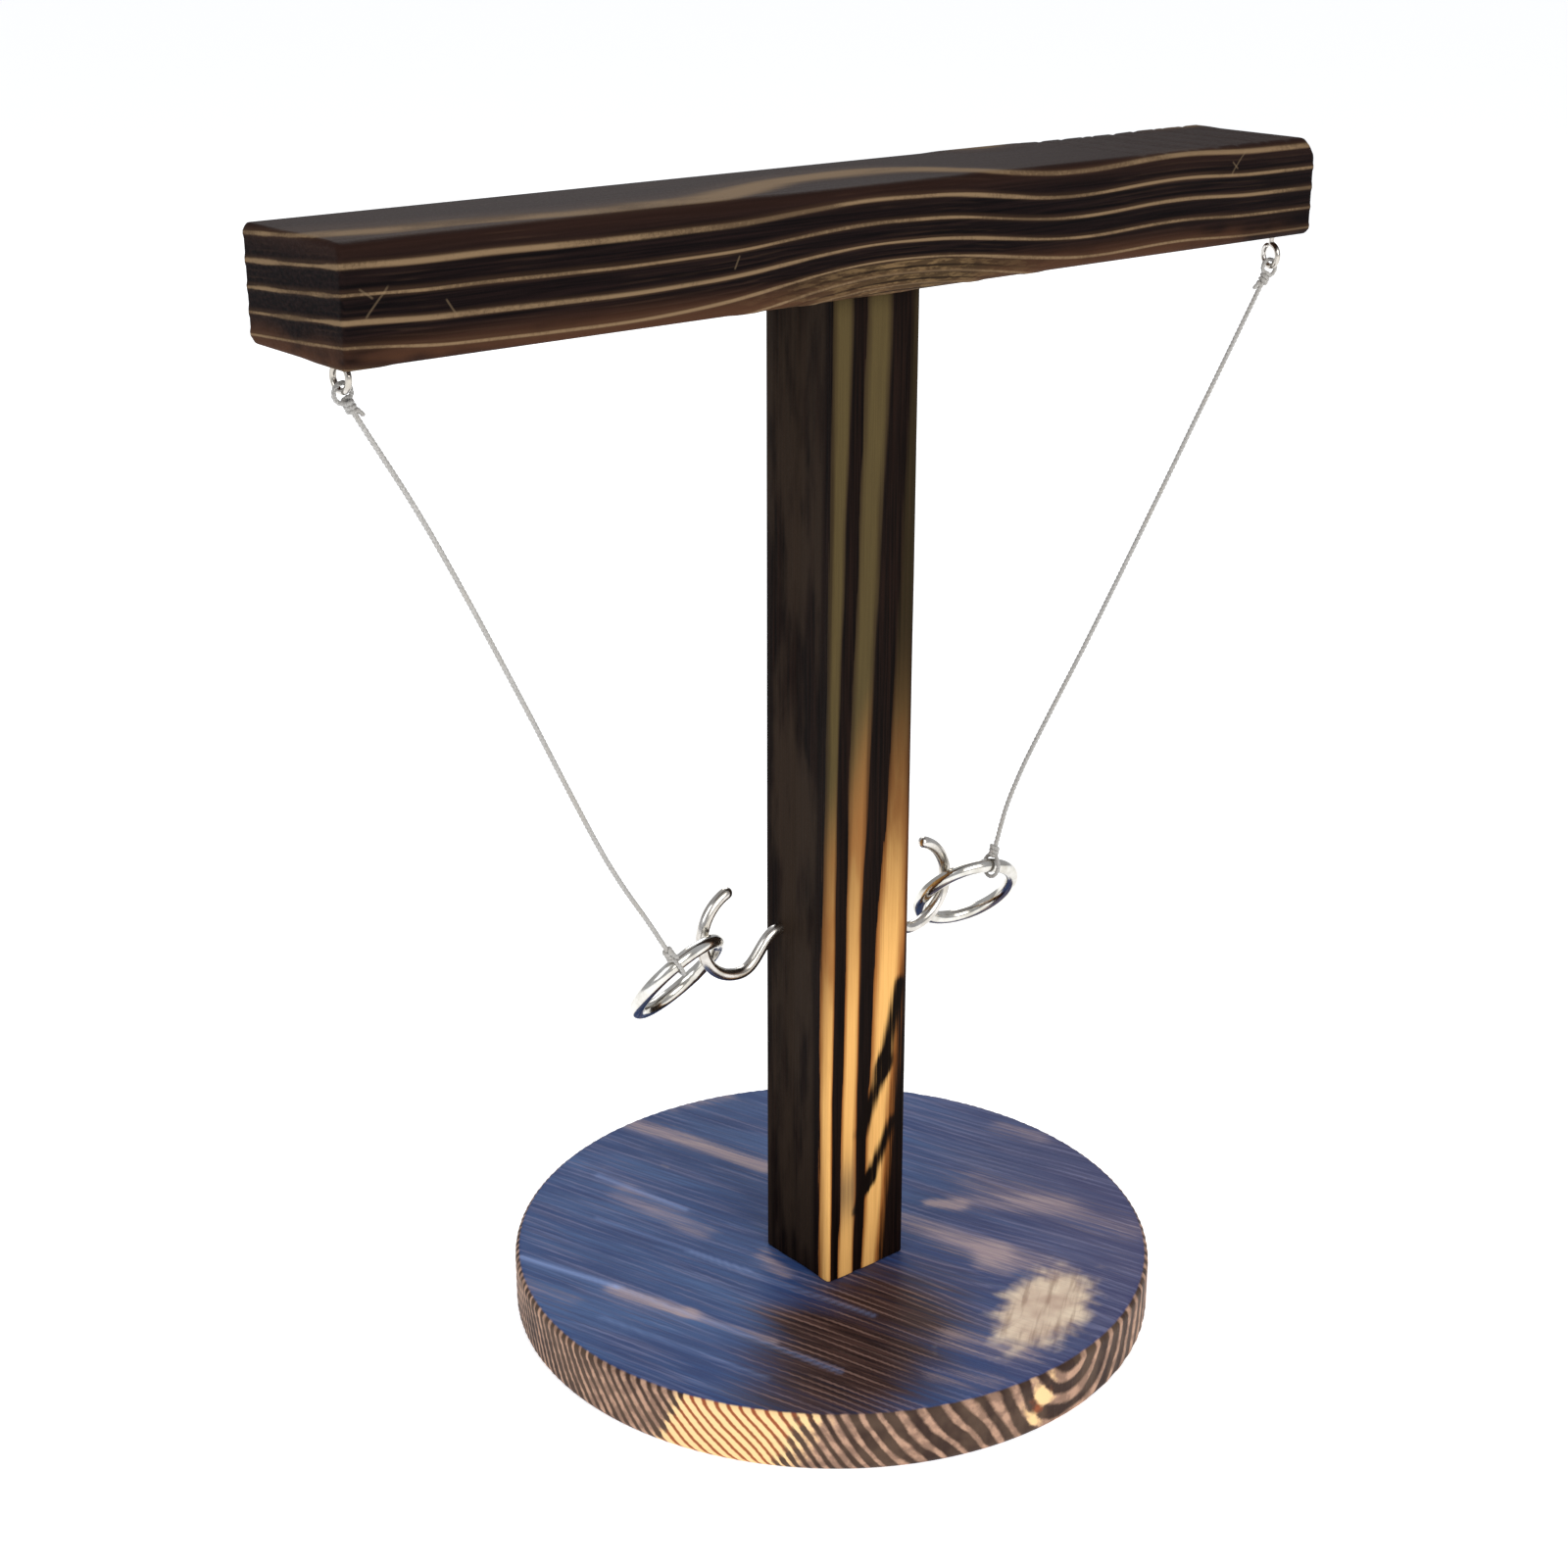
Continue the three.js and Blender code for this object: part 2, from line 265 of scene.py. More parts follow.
for hand in HANDS.values():
    side = hand["side"]
    hand["hook_middle"] = np.array(
        [side * (POST_SIDE / 2 + HOOK_ARC_OUT), hand["hook_y"], HOOK_HEIGHT + HOOK_ARC_UP]
    )
    mirror = np.array([side, 1, 1])
    away = np.array([math.cos(RING_DROOP), 0, -math.sin(RING_DROOP)])
    wire = np.array([math.sin(RING_DROOP), 0, math.cos(RING_DROOP)])
    normal = wire * math.cos(RING_TURN) + np.array([0, math.sin(RING_TURN), 0])
    hand["across"] = np.cross(away, normal) * mirror
    hand["away"], hand["normal"] = away * mirror, normal * mirror
    hand["ring_middle"] = hand["hook_middle"] + hand["away"] * RING_HANG
    hand["eye_middle"] = np.array([*hand["eye"], EYE_HEIGHT])
    hand["eye_axis"] = unit((hand["ring_middle"] - hand["eye_middle"]) * (1, 1, 0))
    hand["eye_flat"] = np.array([hand["eye_axis"][1], -hand["eye_axis"][0], 0])
    print("ring middle", hand["ring_middle"].round(1), "faces", hand["normal"].round(2))

# %% Lines of the string's loops
RING_LOOP = 2.6
TOP_LOOP = 1.9
KNOT_BEYOND = 0.78
LOOP_PLAY = 0.3
for hand in HANDS.values():
    angle = math.radians(hand["knot_angle"])
    outward = hand["away"] * math.cos(angle) + hand["across"] * math.sin(angle)
    tangent = hand["across"] * math.cos(angle) - hand["away"] * math.sin(angle)
    low = hand["ring_middle"] + outward * RING_RADIUS
    down = unit(low - hand["eye_middle"])
    slack = TOP_LOOP - EYE_WIRE - STRING_WIDE / 2 - LOOP_PLAY
    high = hand["eye_middle"] - (0, 0, EYE_RADIUS) + down * slack
    up = high - low
    up = unit(up - tangent * up.dot(tangent))
    hand["low_loop"] = {"middle": low, "leaves": up, "axis": tangent}
    hand["high_loop"] = {"middle": high, "leaves": down, "axis": hand["eye_flat"]}
    for loop, radius in ((hand["low_loop"], RING_LOOP), (hand["high_loop"], TOP_LOOP)):
        loop["radius"] = radius
        loop["knot"] = loop["middle"] + loop["leaves"] * (radius + KNOT_BEYOND)
    print("knots at", hand["low_loop"]["knot"].round(1), hand["high_loop"]["knot"].round(1))

# %% [markdown]
# ## String
# Each string is a soft cotton cord about 1.2 mm thick that runs from a screw eye under the
# crossbar to a ring, a little slack. A curve with a round bevel would be quick, but it
# looks like wire. Here a tube follows the route, and its section has three lobes that turn
# as it goes, which gives the rope lay of three strands.

# %% Routes of the two strings
ROUTES = {
    "left": [
        (-114.2, -6.0, 228.7), (-109.4, -6.1, 220.7), (-104.6, -6.2, 212.7), (-100.0, -6.2, 204.5),
        (-95.7, -6.3, 196.2), (-91.5, -6.4, 187.9), (-87.3, -6.4, 179.5), (-83.2, -6.5, 171.1),
        (-79.1, -6.6, 162.7), (-75.1, -6.6, 154.3), (-71.1, -6.7, 145.9), (-67.0, -6.8, 137.4),
        (-62.8, -6.8, 129.1), (-58.1, -6.9, 121.0), (-53.0, -7.0, 113.2),
    ],
    "right": [
        (115.0, -18.3, 228.8), (110.1, -17.9, 220.8), (105.1, -17.5, 212.7), (100.1, -17.1, 204.7),
        (95.1, -16.7, 196.7), (90.2, -16.3, 188.6), (85.2, -15.9, 180.6), (80.2, -15.5, 172.6),
        (75.2, -15.1, 164.6), (70.1, -14.7, 156.6), (65.0, -14.3, 148.7), (59.7, -13.9, 140.9),
        (54.4, -13.5, 133.0), (49.3, -13.1, 125.1), (45.0, -12.7, 116.7),
    ],
}
STRING_STEP = 0.35
STRAND_PITCH = 3.2
STRAND_DEPTH = 0.3
for name, hand in HANDS.items():
    route = [hand["high_loop"]["knot"], *ROUTES[name], hand["low_loop"]["knot"]]
    route = eased(spaced(route, 1.5), 6)
    string, line = tube(
        f"{name}_cotton_string", route, STRING_WIDE / 2, 18, STRING_STEP,
        strands=3, pitch=STRAND_PITCH, depth=STRAND_DEPTH,
    )
    hand["string"], hand["string_line"] = string, line
    print(name, "string", round(length_of(line), 1), "mm,", len(string.data.polygons), "faces")

# %% [markdown]
# ## Knots
# A string is tied on with a slip loop: it passes round the metal, and its end is wound
# three times round itself. The loop, the turns and the short tail are one line of yarn, so
# one tube that follows that line looks tied, where a ball on the string would not.

# %% Tie a knot
KNOT_YARN = 0.5
KNOT_TURNS = 3
KNOT_WIND = 0.86
KNOT_REACH = 1.35
POINTS_A_TURN = 26
LOOP_OPENS = (24, 336)  # the loop runs between these angles from where the string leaves


def knot_line(loop, tail):
    """Yarn from the tail's tip, in turns down the string, round the loop and back inside."""
    leaves, axis = loop["leaves"], loop["axis"]
    beside = np.cross(axis, leaves)
    turns = np.linspace(0, 2 * np.pi * KNOT_TURNS, POINTS_A_TURN * KNOT_TURNS)
    heights = np.linspace(KNOT_REACH, -KNOT_REACH, len(turns))
    wound = [
        loop["knot"] + leaves * h + KNOT_WIND * (beside * math.cos(a) + axis * math.sin(a))
        for a, h in zip(turns, heights)
    ]
    sweep = np.radians(np.linspace(*LOOP_OPENS, 60))
    round_metal = [
        loop["middle"] + loop["radius"] * (leaves * math.cos(a) + beside * math.sin(a))
        for a in sweep
    ]
    tip = wound[0] + tail
    ends = [tip, tip * 0.5 + wound[0] * 0.5 + leaves * 0.25]
    return eased(spaced([*ends, *wound, *round_metal, loop["knot"]], 0.3), 3)


for name, hand in HANDS.items():
    tail_low = -hand["low_loop"]["leaves"] * 1.6 + hand["normal"] * -1.2 + hand["away"] * -0.9
    tail_high = hand["high_loop"]["leaves"] * 1.6 + hand["eye_axis"] * 0.9
    for place, loop, tail in (
        ("ring", hand["low_loop"], tail_low), ("top", hand["high_loop"], tail_high)
    ):
        knot, line = tube(
            f"{name}_{place}_cotton_knot", knot_line(loop, tail), KNOT_YARN, 14, 0.3,
            strands=3, pitch=2.6, depth=0.26,
        )
        hand[f"{place}_knot"] = knot
        print(knot.name, "yarn", round(length_of(line), 1), "mm")

# %% [markdown]
# ## Hooks
# Each hook is one bent wire. It goes straight into the post, dips, and comes round in a
# wide arc whose tip stands nearly upright, so a ring that swings in has to drop over it.

# %% Bend the hooks
HOOK_WIRE = 1.4
for name, hand in HANDS.items():
    side = hand["side"]
    out = np.array([side, 0, 0])
    face = np.array([side * POST_SIDE / 2, hand["hook_y"], HOOK_HEIGHT])
    lowest = hand["hook_middle"] - (0, 0, HOOK_ARC)
    dip = curve_through(face, face + out * 5.5, lowest - out * 5, lowest, 24)
    bend = np.radians(np.linspace(-90, HOOK_TIP, 70))[1:]
    arc = [
        hand["hook_middle"] + HOOK_ARC * (out * math.cos(a) + (0, 0, math.sin(a))) for a in bend
    ]
    hook, line = tube(
        f"{name}_wire_hook", [face - out * HOOK_DEPTH, *dip, *arc], HOOK_WIRE, 24, 0.55
    )
    hand["hook"] = hook
    print(hook.name, "wire", round(length_of(line), 1), "mm long")

# %% [markdown]
# ## Screw eyes
# A screw eye is a thin wire, turned once round to a bow below a straight shank. The bow's
# end stops just short of the shank, which leaves the small gap that real ones have.

# %% Turn the screw eyes
EYE_SHANK_TOP = 249.0
EYE_BOW = 338  # degrees from the shank round to the bow's free end
for name, hand in HANDS.items():
    bow = [
        hand["eye_middle"] + EYE_RADIUS * (hand["eye_flat"] * math.cos(a) + (0, 0, math.sin(a)))
        for a in np.radians(np.linspace(90, 90 + EYE_BOW, 64))
    ]
    shank = [(*hand["eye"], EYE_SHANK_TOP), (*hand["eye"], EYE_HEIGHT + EYE_RADIUS + 0.8)]
    wire = eased(spaced([*shank, *bow], 0.25), 4)
    eye, line = tube(f"{name}_wire_eye", wire, EYE_WIRE, 16, 0.25)
    hand["eye_piece"] = eye
    print(eye.name, "wire", round(length_of(line), 1), "mm long")

# %% [markdown]
# ## Rings
# The rings are welded steel wire. The weld stands a hair proud of the wire, and it is the
# only thing that breaks the round, so the ring's thickness changes a little there.

# %% Weld the rings
RING_WIRE = 1.65
WELD_RISE = 0.03
WELD_PLACE, WELD_WIDE = np.pi * 1.3, 0.06
RING_STEPS = 160
WIRE_SIDES = 28
for name, hand in HANDS.items():
    around = np.linspace(0, 2 * np.pi, RING_STEPS, endpoint=False)
    spoke = np.cos(around)[:, None] * hand["away"] + np.sin(around)[:, None] * hand["across"]
    weld = np.exp(-(((around - WELD_PLACE) / WELD_WIDE) ** 2)) * WELD_RISE
    section = np.linspace(0, 2 * np.pi, WIRE_SIDES, endpoint=False)
    rings = [
        hand["ring_middle"] + s * RING_RADIUS
        + (RING_WIRE * (1 - WELD_RISE + w))
        * (np.cos(section)[:, None] * s + np.sin(section)[:, None] * hand["normal"])
        for s, w in zip(spoke, weld)
    ]
    ring = piece_from(
        f"{name}_welded_ring", np.concatenate(rings),
        faces_between(RING_STEPS, WIRE_SIDES, closed=True),
    )
    hand["ring"] = ring
    print(ring.name, len(ring.data.polygons), "faces")


# %% [markdown]
# ## Wood as growth rings
# Torched and brushed pine shows its years: the hard late wood stays as thin pale lines and
# the soft early wood between them chars dark. A flat image would stop at each edge. Instead
# each point of the wood gets the number of the year ring it lies in, as a mark on the mesh.
# The same number carves the surface a little and draws the lines, on every face alike.

# %% Helpers for places in the wood
def ramp(value, low, high):
    """Zero below low, one above high, and smooth between them."""
    t = np.clip((np.asarray(value, float) - low) / (high - low), 0, 1)
    return t * t * (3 - 2 * t)


def bell(value, middle, wide):
    """One at the middle, falling off smoothly about that wide."""
    return np.exp(-(((np.asarray(value) - middle) / wide) ** 2))


def wander(value, seed, size=1.0):
    """A slow random wave, the same each time for the same seed."""
    dice = np.random.default_rng(seed)
    waves = sum(
        np.sin(value / length + dice.uniform(0, 2 * np.pi)) * length
        for length in (19.0, 11.0, 6.3, 3.7)
    )
    return waves * size / 20


def streak(x, y, start, end, wide):
    """One along the line from start to end, falling off smoothly about that wide."""
    start, end = np.array(start, float), np.array(end, float)
    along = end - start
    x, y = x - start[0], y - start[1]
    share = np.clip((x * along[0] + y * along[1]) / (along @ along), 0, 1)
    gap = np.hypot(x - share * along[0], y - share * along[1])
    return np.exp(-((gap / wide) ** 2))


def oval(x, y, middle, tilt, long, short, fades):
    """One in the middle of an oval, tilted by that many degrees, and zero beyond its edge."""
    x, y, tilt = x - middle[0], y - middle[1], math.radians(tilt)
    far = (x * math.cos(tilt) + y * math.sin(tilt)) / long
    off = (y * math.cos(tilt) - x * math.sin(tilt)) / short
    return 1 - ramp(np.hypot(far, off), 0.2, fades)


def pale_line(rings, wide):
    """One on each late-wood line, where the ring number is whole."""
    return 1 - ramp(np.abs((rings + 0.5) % 1 - 0.5), wide * 0.4, wide)


def carve(piece, depth):
    """Sinks each point of the surface by its own depth in millimetres."""
    mesh = piece.data
    places = np.zeros(len(mesh.vertices) * 3, np.float32)
    mesh.vertices.foreach_get("co", places)
    facing = np.zeros(len(mesh.vertices) * 3, np.float32)
    mesh.vertex_normals.foreach_get("vector", facing)
    places = places.reshape(-1, 3) - facing.reshape(-1, 3) * (np.asarray(depth) * MM)[:, None]
    mesh.vertices.foreach_set("co", places.astype(np.float32).ravel())
    mesh.update()


print("a ramp from 2 to 4 at 2, 3 and 4:", ramp([2, 3, 4], 2, 4))

# %% Planed bars
CORNER_POINTS = 5


def outline(width, height, corner, across, up):
    """Points round a rectangle with rounded corners, with that many on each side."""
    corner = max(corner, 0.05)
    arcs = []
    for number, (sx, sy) in enumerate([(1, 1), (-1, 1), (-1, -1), (1, -1)]):
        angles = np.radians(np.linspace(90 * number, 90 * number + 90, CORNER_POINTS))
        middle = (sx * (width / 2 - corner), sy * (height / 2 - corner))
        arcs.append(middle + corner * np.stack([np.cos(angles), np.sin(angles)], 1))
    points = []
    for number, arc in enumerate(arcs):
        count = up if number % 2 else across
        steps = np.arange(1, count)[:, None] / count
        points += [arc, arc[-1] + (arcs[(number + 1) % 4][0] - arc[-1]) * steps]
    return np.concatenate(points)


def bar_rings(length, width, height, corner, ease, cell):
    """Rings along a planed bar: out from the middle of one end, along it, and in at the other."""
    across, up = int(width / cell), int(height / cell)
    half = length / 2
    rings = []
    inner = outline(width - 2 * ease, height - 2 * ease, corner - ease * 0.5, across, up)
    for share in np.linspace(0.03, 0.97, int(min(width, height) / 2 / cell)):
        rings.append((-half, inner * share))
    for angle in np.radians([0, 25, 50, 75]):
        inset = ease * (1 - math.sin(angle))
        shape = outline(width - 2 * inset, height - 2 * inset, corner - inset * 0.5, across, up)
        rings.append((-half + ease * (1 - math.cos(angle)), shape))
    whole = outline(width, height, corner, across, up)
    steps = int((length - 2 * ease) / cell)
    middle = [(x, whole) for x in np.linspace(-half + ease, half - ease, steps)]
    rings = rings + middle + [(-x, shape) for x, shape in reversed(rings)]
    points = np.array([np.column_stack([np.full(len(r), x), r]) for x, r in rings])
    return points.reshape(-1, 3), len(rings), len(whole)


points, rings, around = bar_rings(20, 8, 6, 1, 0.5, 1)
print("a small bar has", rings, "rings of", around, "points")

# %% [markdown]
# ## Crossbar
# The crossbar is flat-sawn: its year rings are nearly level sheets, 5 mm apart, so five
# pale lines run the whole length of each side and across the ends. Above the post a branch
# once grew just under the wood, and the lines swell up round it, most of all the lowest.

# %% Plane the crossbar
RING_APART = 5.1
LOWEST_RING = 1.9
BRANCH_LEAN = 0.25
BEAM_TILT = 0.094  # the sheets rise towards the front
BEAM_EDGE = 2.0
BEAM_EASE = 1.0
WOOD_CELL = 1.0
BEAM_CARVE = 0.16


def beam_rings_at(x, y, z):
    """The year ring number in the crossbar: whole on each pale line."""
    height, from_front = z - beam_low[2], y - beam_low[1]
    swell = bell(x - BRANCH_LEAN * from_front, 0, 33)  # over the hidden branch, most of all low
    swell *= (1.1 + 12 * np.exp(-np.clip(height, 0, 99) / 6)) * (1 - ramp(from_front, 0, 60) * 0.6)
    lift = bell(x, -127, 18) * (0.9 + 3.4 * np.exp(-height / 7))  # at the left end
    drop = ramp(x, 8, 46) * 2.3 * np.clip(height / 16, 0, 1)  # right of the swell
    back_up = bell(x, 82, 20) * 1.9  # and up again near the right end
    waves = wander(x * 0.55, 4, 0.3) + wander(x + y * 0.8, 9, 0.12)
    level = height - swell - lift + drop - back_up + BEAM_TILT * from_front + waves
    return (level - LOWEST_RING) / RING_APART


points, rings, around = bar_rings(*(beam_high - beam_low), BEAM_EDGE, BEAM_EASE, WOOD_CELL)
points = points + (beam_low + beam_high) / 2
x, y, z = points.T
knocked_corner = ramp(x, 120.5, 125) ** 2 * ramp(z, 250, 262) * 3.0
nibbled_edge = ramp(x, 60, 80) * bell(z, 262, 1.2) * 0.35
nibbled_edge *= ramp(np.sin(x * 1.9) + np.sin(x * 0.83), 0.4, 1.4)
z = z - knocked_corner - nibbled_edge
points = np.stack([x, y, z], 1)
ring_number = beam_rings_at(x, y, z)
from_front = y - beam_low[1]
figure = bell(x - BRANCH_LEAN * from_front, 2, 27) * (1 - ramp(ring_number, -0.1, 0.05))
crossbar = piece_from(
    "charred_crossbar", points, faces_between(rings, around),
    {"rings": ring_number, "figure": figure},
)
carve(crossbar, BEAM_CARVE * (1 - pale_line(ring_number, 0.2)))
print("crossbar", len(crossbar.data.vertices), "points")

# %% [markdown]
# ## Post
# The post is cut so that its rings stand on edge. On the front they make three wide honey
# bands between black ones, and the side face lies nearly along one ring, so it is one dark
# field. Near the foot the bands carry painted sunlight and stay bright, and higher up they
# are dimmed by a painted shadow of the crossbar.

# %% Plane the post
POST_EDGE = 1.2
POST_EASE = 0.4
POST_CARVE = 0.14
BAND_SLANT = 0.25
BEFORE_FIRST, BEHIND_LAST = 2.4, 30  # how wide the dark is on each side of the bands
BURNS = (  # across and height of both ends, and how wide
    ((20.5, 84), (16, 65), 2.6), ((16, 65), (9.5, 50), 2.6),
    ((19, 50), (12, 37), 2.4), ((12, 37), (8, 30), 1.6),
)
BAND_HEIGHTS = (15, 60, 100, 130, 180, 235)
BAND_EDGES = (  # millimetres across the front at each height: a band starts, ends, and so on
    (-0.85, -0.90, -0.85, -0.68, -0.40, -0.20),
    (0.90, 0.60, 1.30, 1.50, 3.20, 4.80),
    (3.00, 3.00, 4.40, 4.70, 6.60, 8.00),
    (7.70, 7.60, 8.80, 10.20, 13.00, 14.80),
    (10.00, 11.00, 13.40, 16.20, 18.50, 20.00),
    (15.00, 18.20, 22.00, 22.30, 23.00, 23.50),
)


def across_post(x, y):
    """How far from the left edge a point is, along sheets that slant to the back."""
    return x - post_low[0] - BAND_SLANT * (y - post_low[1])


def post_bands_at(x, y, z):
    """Counts the band edges passed on the way across: odd to even is pale, even to odd dark."""
    across = across_post(x, y)
    waves = wander(z * 0.8, 21, 0.3) + wander(z * 0.5 + across * 3, 5, 0.15)
    across = across - waves * ramp(across, -0.4, 3)
    edges = [np.interp(z, BAND_HEIGHTS, row) for row in BAND_EDGES]
    edges = [edges[0] - BEFORE_FIRST, *edges, edges[-1] + BEHIND_LAST]
    steps = [np.clip((across - low) / (high - low), 0, 1) for low, high in zip(edges, edges[1:])]
    return sum(steps) + np.minimum(0, (across - edges[0]) / BEFORE_FIRST)


points, rings, around = bar_rings(
    post_high[2] - post_low[2], POST_SIDE, POST_SIDE, POST_EDGE, POST_EASE, 0.95
)
points = points[:, [1, 2, 0]] + (post_low + post_high) / 2
x, y, z = points.T
bands = post_bands_at(x, y, z)
across = across_post(x, y)
burn = sum(streak(across, z, start, end, wide) for start, end, wide in BURNS)
smoke = bell(z, 36, 8) * ramp(across, 2.2, 3.2) * (1 - ramp(across, 7.4, 8.6))
# Painted sunlight: one near the foot and nought higher up, in the crossbar's painted shadow, with
# its edge slanting across the bands.
unburnt = 1 - ramp(z + 2.2 * (5 - np.clip(across, 0, 14)), 66, 150)
post = piece_from(
    "charred_post", points, faces_between(rings, around),
    {"bands": bands, "burn": np.clip(burn, 0, 1), "smoke": smoke, "unburnt": unburnt},
)
carve(post, POST_CARVE * (1 - ramp(np.sin((bands - 1) * np.pi), -0.5, 0.5)))
print("post", len(post.data.vertices), "points")


# %% [markdown]
# ## Round foot
# The foot is turned from a flat-sawn board. Its grain runs from the back to the front, a
# little to the right. On top the rings show as fine close lines that part round a pale
# knot. On the rim they show end on, as slanting lines that bend to nested bowls under it.

# %% Turn the foot
AROUND = 420
BASE_EDGE = 1.6
BASE_CARVE = 0.12
GRAIN_TURN = math.radians(19.3)
TOP_RING_APART = 1.9
PITH_ANGLE = math.radians(-86)
RIM_CLOSE, RIM_WIDE = 2.7, 5.4  # how far apart the rim's lines are, far from the pith and near it
KNOT_PLACE = (20.0, -56.0)
BROWN_PLACE = (-22.0, -40.0)


def disc_profile():
    """Radius and height from the middle of the underside, out, up and in to the top's middle."""
    low, high, out = base_low[2], base_high[2], BASE_RADIUS - BASE_EDGE
    bend = np.radians(np.linspace(0, 90, 6))
    under = [(r, low) for r in np.linspace(0.6, out, 26)[:-1]]
    lower = [(out + BASE_EDGE * math.sin(a), low + BASE_EDGE * (1 - math.cos(a))) for a in bend]
    wall = [(BASE_RADIUS, h) for h in np.linspace(low + BASE_EDGE, high - BASE_EDGE, 14)[1:-1]]
    upper = [(r, low + high - h) for r, h in reversed(lower)]
    top = [(r, high) for r in np.linspace(out, 0.6, 66)[1:]]
    return np.array([*under, *lower, *wall, *upper, *top])


def top_rings_at(x, y):
    """The year ring number on top of the foot, pushed aside round the knot."""
    x, y = x - BASE_MIDDLE[0], y - BASE_MIDDLE[1]
    across = math.cos(GRAIN_TURN) * x + math.sin(GRAIN_TURN) * y
    along = math.sin(GRAIN_TURN) * x - math.cos(GRAIN_TURN) * y
    knot_across, knot_along = -3.3, 58.0
    aside = 5.5 * np.tanh((across - knot_across) / 5) * bell(along, knot_along, 21)
    aside = aside * bell(across, knot_across, 20)
    waves = wander(along * 0.5 + across * 0.2, 3, 0.9) + wander(along + across, 8, 0.12)
    return (across - aside + waves) / TOP_RING_APART


def rim_rings_at(x, y, z):
    """The year ring number on the rim, counted outwards from the pith."""
    angle = np.arctan2(y - BASE_MIDDLE[1], x - BASE_MIDDLE[0]) - PITH_ANGLE
    beside = (np.mod(angle + math.pi, 2 * math.pi) - math.pi) * BASE_RADIUS
    below = base_high[2] - z
    slant = 0.52 * below * ramp(-beside, 8, 30)
    honey_slant = 0.35 * below * bell(beside, -78, 14)
    reach = np.hypot(beside, below + 2) + slant + honey_slant + wander(beside + below, 14, 0.5)
    reach = reach + wander(beside * 2.3 - below * 1.6, 33, 0.25)
    far = np.linspace(0, 260, 1300)
    share = ramp(far, 30, 82)
    lines = 0.2 * (share / RIM_CLOSE + (1 - share) / RIM_WIDE)
    return np.interp(reach, far, np.concatenate([[0], np.cumsum(lines)[:-1]]))


profile = disc_profile()
turn = np.linspace(0, 2 * np.pi, AROUND, endpoint=False)
x = BASE_MIDDLE[0] + profile[:, :1] * np.cos(turn)
y = BASE_MIDDLE[1] + profile[:, :1] * np.sin(turn)
z = np.broadcast_to(profile[:, 1:], x.shape)
x, y, z = x.ravel(), y.ravel(), z.ravel()
radius = np.repeat(profile[:, 0], AROUND)
on_rim = (radius > BASE_RADIUS - 0.75).astype(float)
top_number, rim_number = top_rings_at(x, y), rim_rings_at(x, y, z)
number = np.where(on_rim > 0.5, rim_number, top_number)
print("foot", len(x), "points, rings on the rim up to", round(float(rim_number.max())))

# %% [markdown]
# ### Where the foot's colours lie
# The top is blue grey over most of it, partly stained and partly a painted reflection of the
# sky. In front of the post it is brown, where the lacquer mirrors the dark post and the
# painted sky reflection is left out, and it is rubbed back to pale wood in streaks along the
# grain. Each of these but the blue grey is a mark on the mesh.

# %% Stain, rubbed streaks and the knot
RUBBED = (  # how strong, from where, to where and how wide
    (0.85, (-1, 73), (11, 34), 3.6), (0.50, (-24, 46), (-20, 19), 5.0),
    (0.70, (-51, 12), (-44, -7), 2.8), (0.50, (-44, -7), (-36, -28), 2.0),
    (0.65, (20, -6), (28, -31), 4.0), (0.45, (28, -31), (33, -46), 4.5),
    (0.95, (31, -5), (36, -10), 2.2), (0.35, (36, -10), (56, -26), 5.5),
    (0.55, (22, -34), (24, -39), 3.6), (0.45, (47, -4), (60, -44), 8.0),
    (0.45, (71, 12), (75, 2), 5.0), (0.50, (12, 73), (27, 70), 3.6),
    (0.60, (-15, 2), (-17, -8), 3.2), (0.40, (-66, 28), (-61, 14), 4.0),
    (0.50, (-4, -52), (3, -66), 6.0), (0.45, (-17, -60), (-9, -70), 4.0),
    (0.20, (24, -20), (50, -60), 9.0),
)
HAIRS = (
    (1.0, (-60, 37), (-50, 12), 0.9), (0.6, (-24, 57), (-17, 30), 0.8),
    (0.5, (-50, 12), (-32, -46), 0.7), (0.4, (-36, 40), (-22, -2), 0.6),
    (0.4, (-28, 14), (-12, -34), 0.6), (0.3, (-60, 4), (-46, -38), 0.7),
)
rubbed = sum(strong * streak(x, y, start, end, wide) for strong, start, end, wide in RUBBED)
bright_hair = sum(strong * streak(x, y, start, end, wide) for strong, start, end, wide in HAIRS)
pale_knot = oval(x, y, KNOT_PLACE, 24, 21, 11, 1.45)
# The brown patch in front of the post: the lacquer there mirrors the dark post, so the painted sky
# reflection is left out.
brown = oval(x, y, BROWN_PLACE, 28, 44, 25, 1.5)
rim_angle = np.degrees(np.arctan2(y, x - BASE_MIDDLE[0])) - (z - 7) * 0.32
honey = ramp(rim_angle, -160.5, -155) * (1 - ramp(rim_angle, -143, -128))
honey += 0.75 * bell(np.hypot((rim_angle + 93) * 1.2, (z - 7) * 0.55), 0, 4.0)
marks = {
    "top_rings": top_number, "rim_rings": rim_number, "on_rim": on_rim,
    "rubbed": np.clip(rubbed, 0, 1), "hair": bright_hair, "pale_knot": pale_knot,
    "brown": brown, "honey": np.clip(honey, 0, 1),
}
faces = faces_between(len(profile), AROUND)
foot = piece_from("stained_and_sky_reflection_foot", np.stack([x, y, z], 1), faces, marks)
relief = np.where(z > base_low[2] + 0.5, BASE_CARVE, 0) * (1 - pale_line(number, 0.3))
carve(foot, relief * (1 - pale_knot * 0.5))
print("marks on the foot:", sorted(marks))

# %% [markdown]
# ### Recesses under the foot
# Two screws come up through the foot into the post. A cutter in the shape of each screw,
# a little wider, is taken away from the underside, so the heads sit in real recesses.

# %% Drill the foot
CUTTER_GAP = 0.25
CUTTER_SIDES = 48
SCREW_SHANK = 1.9


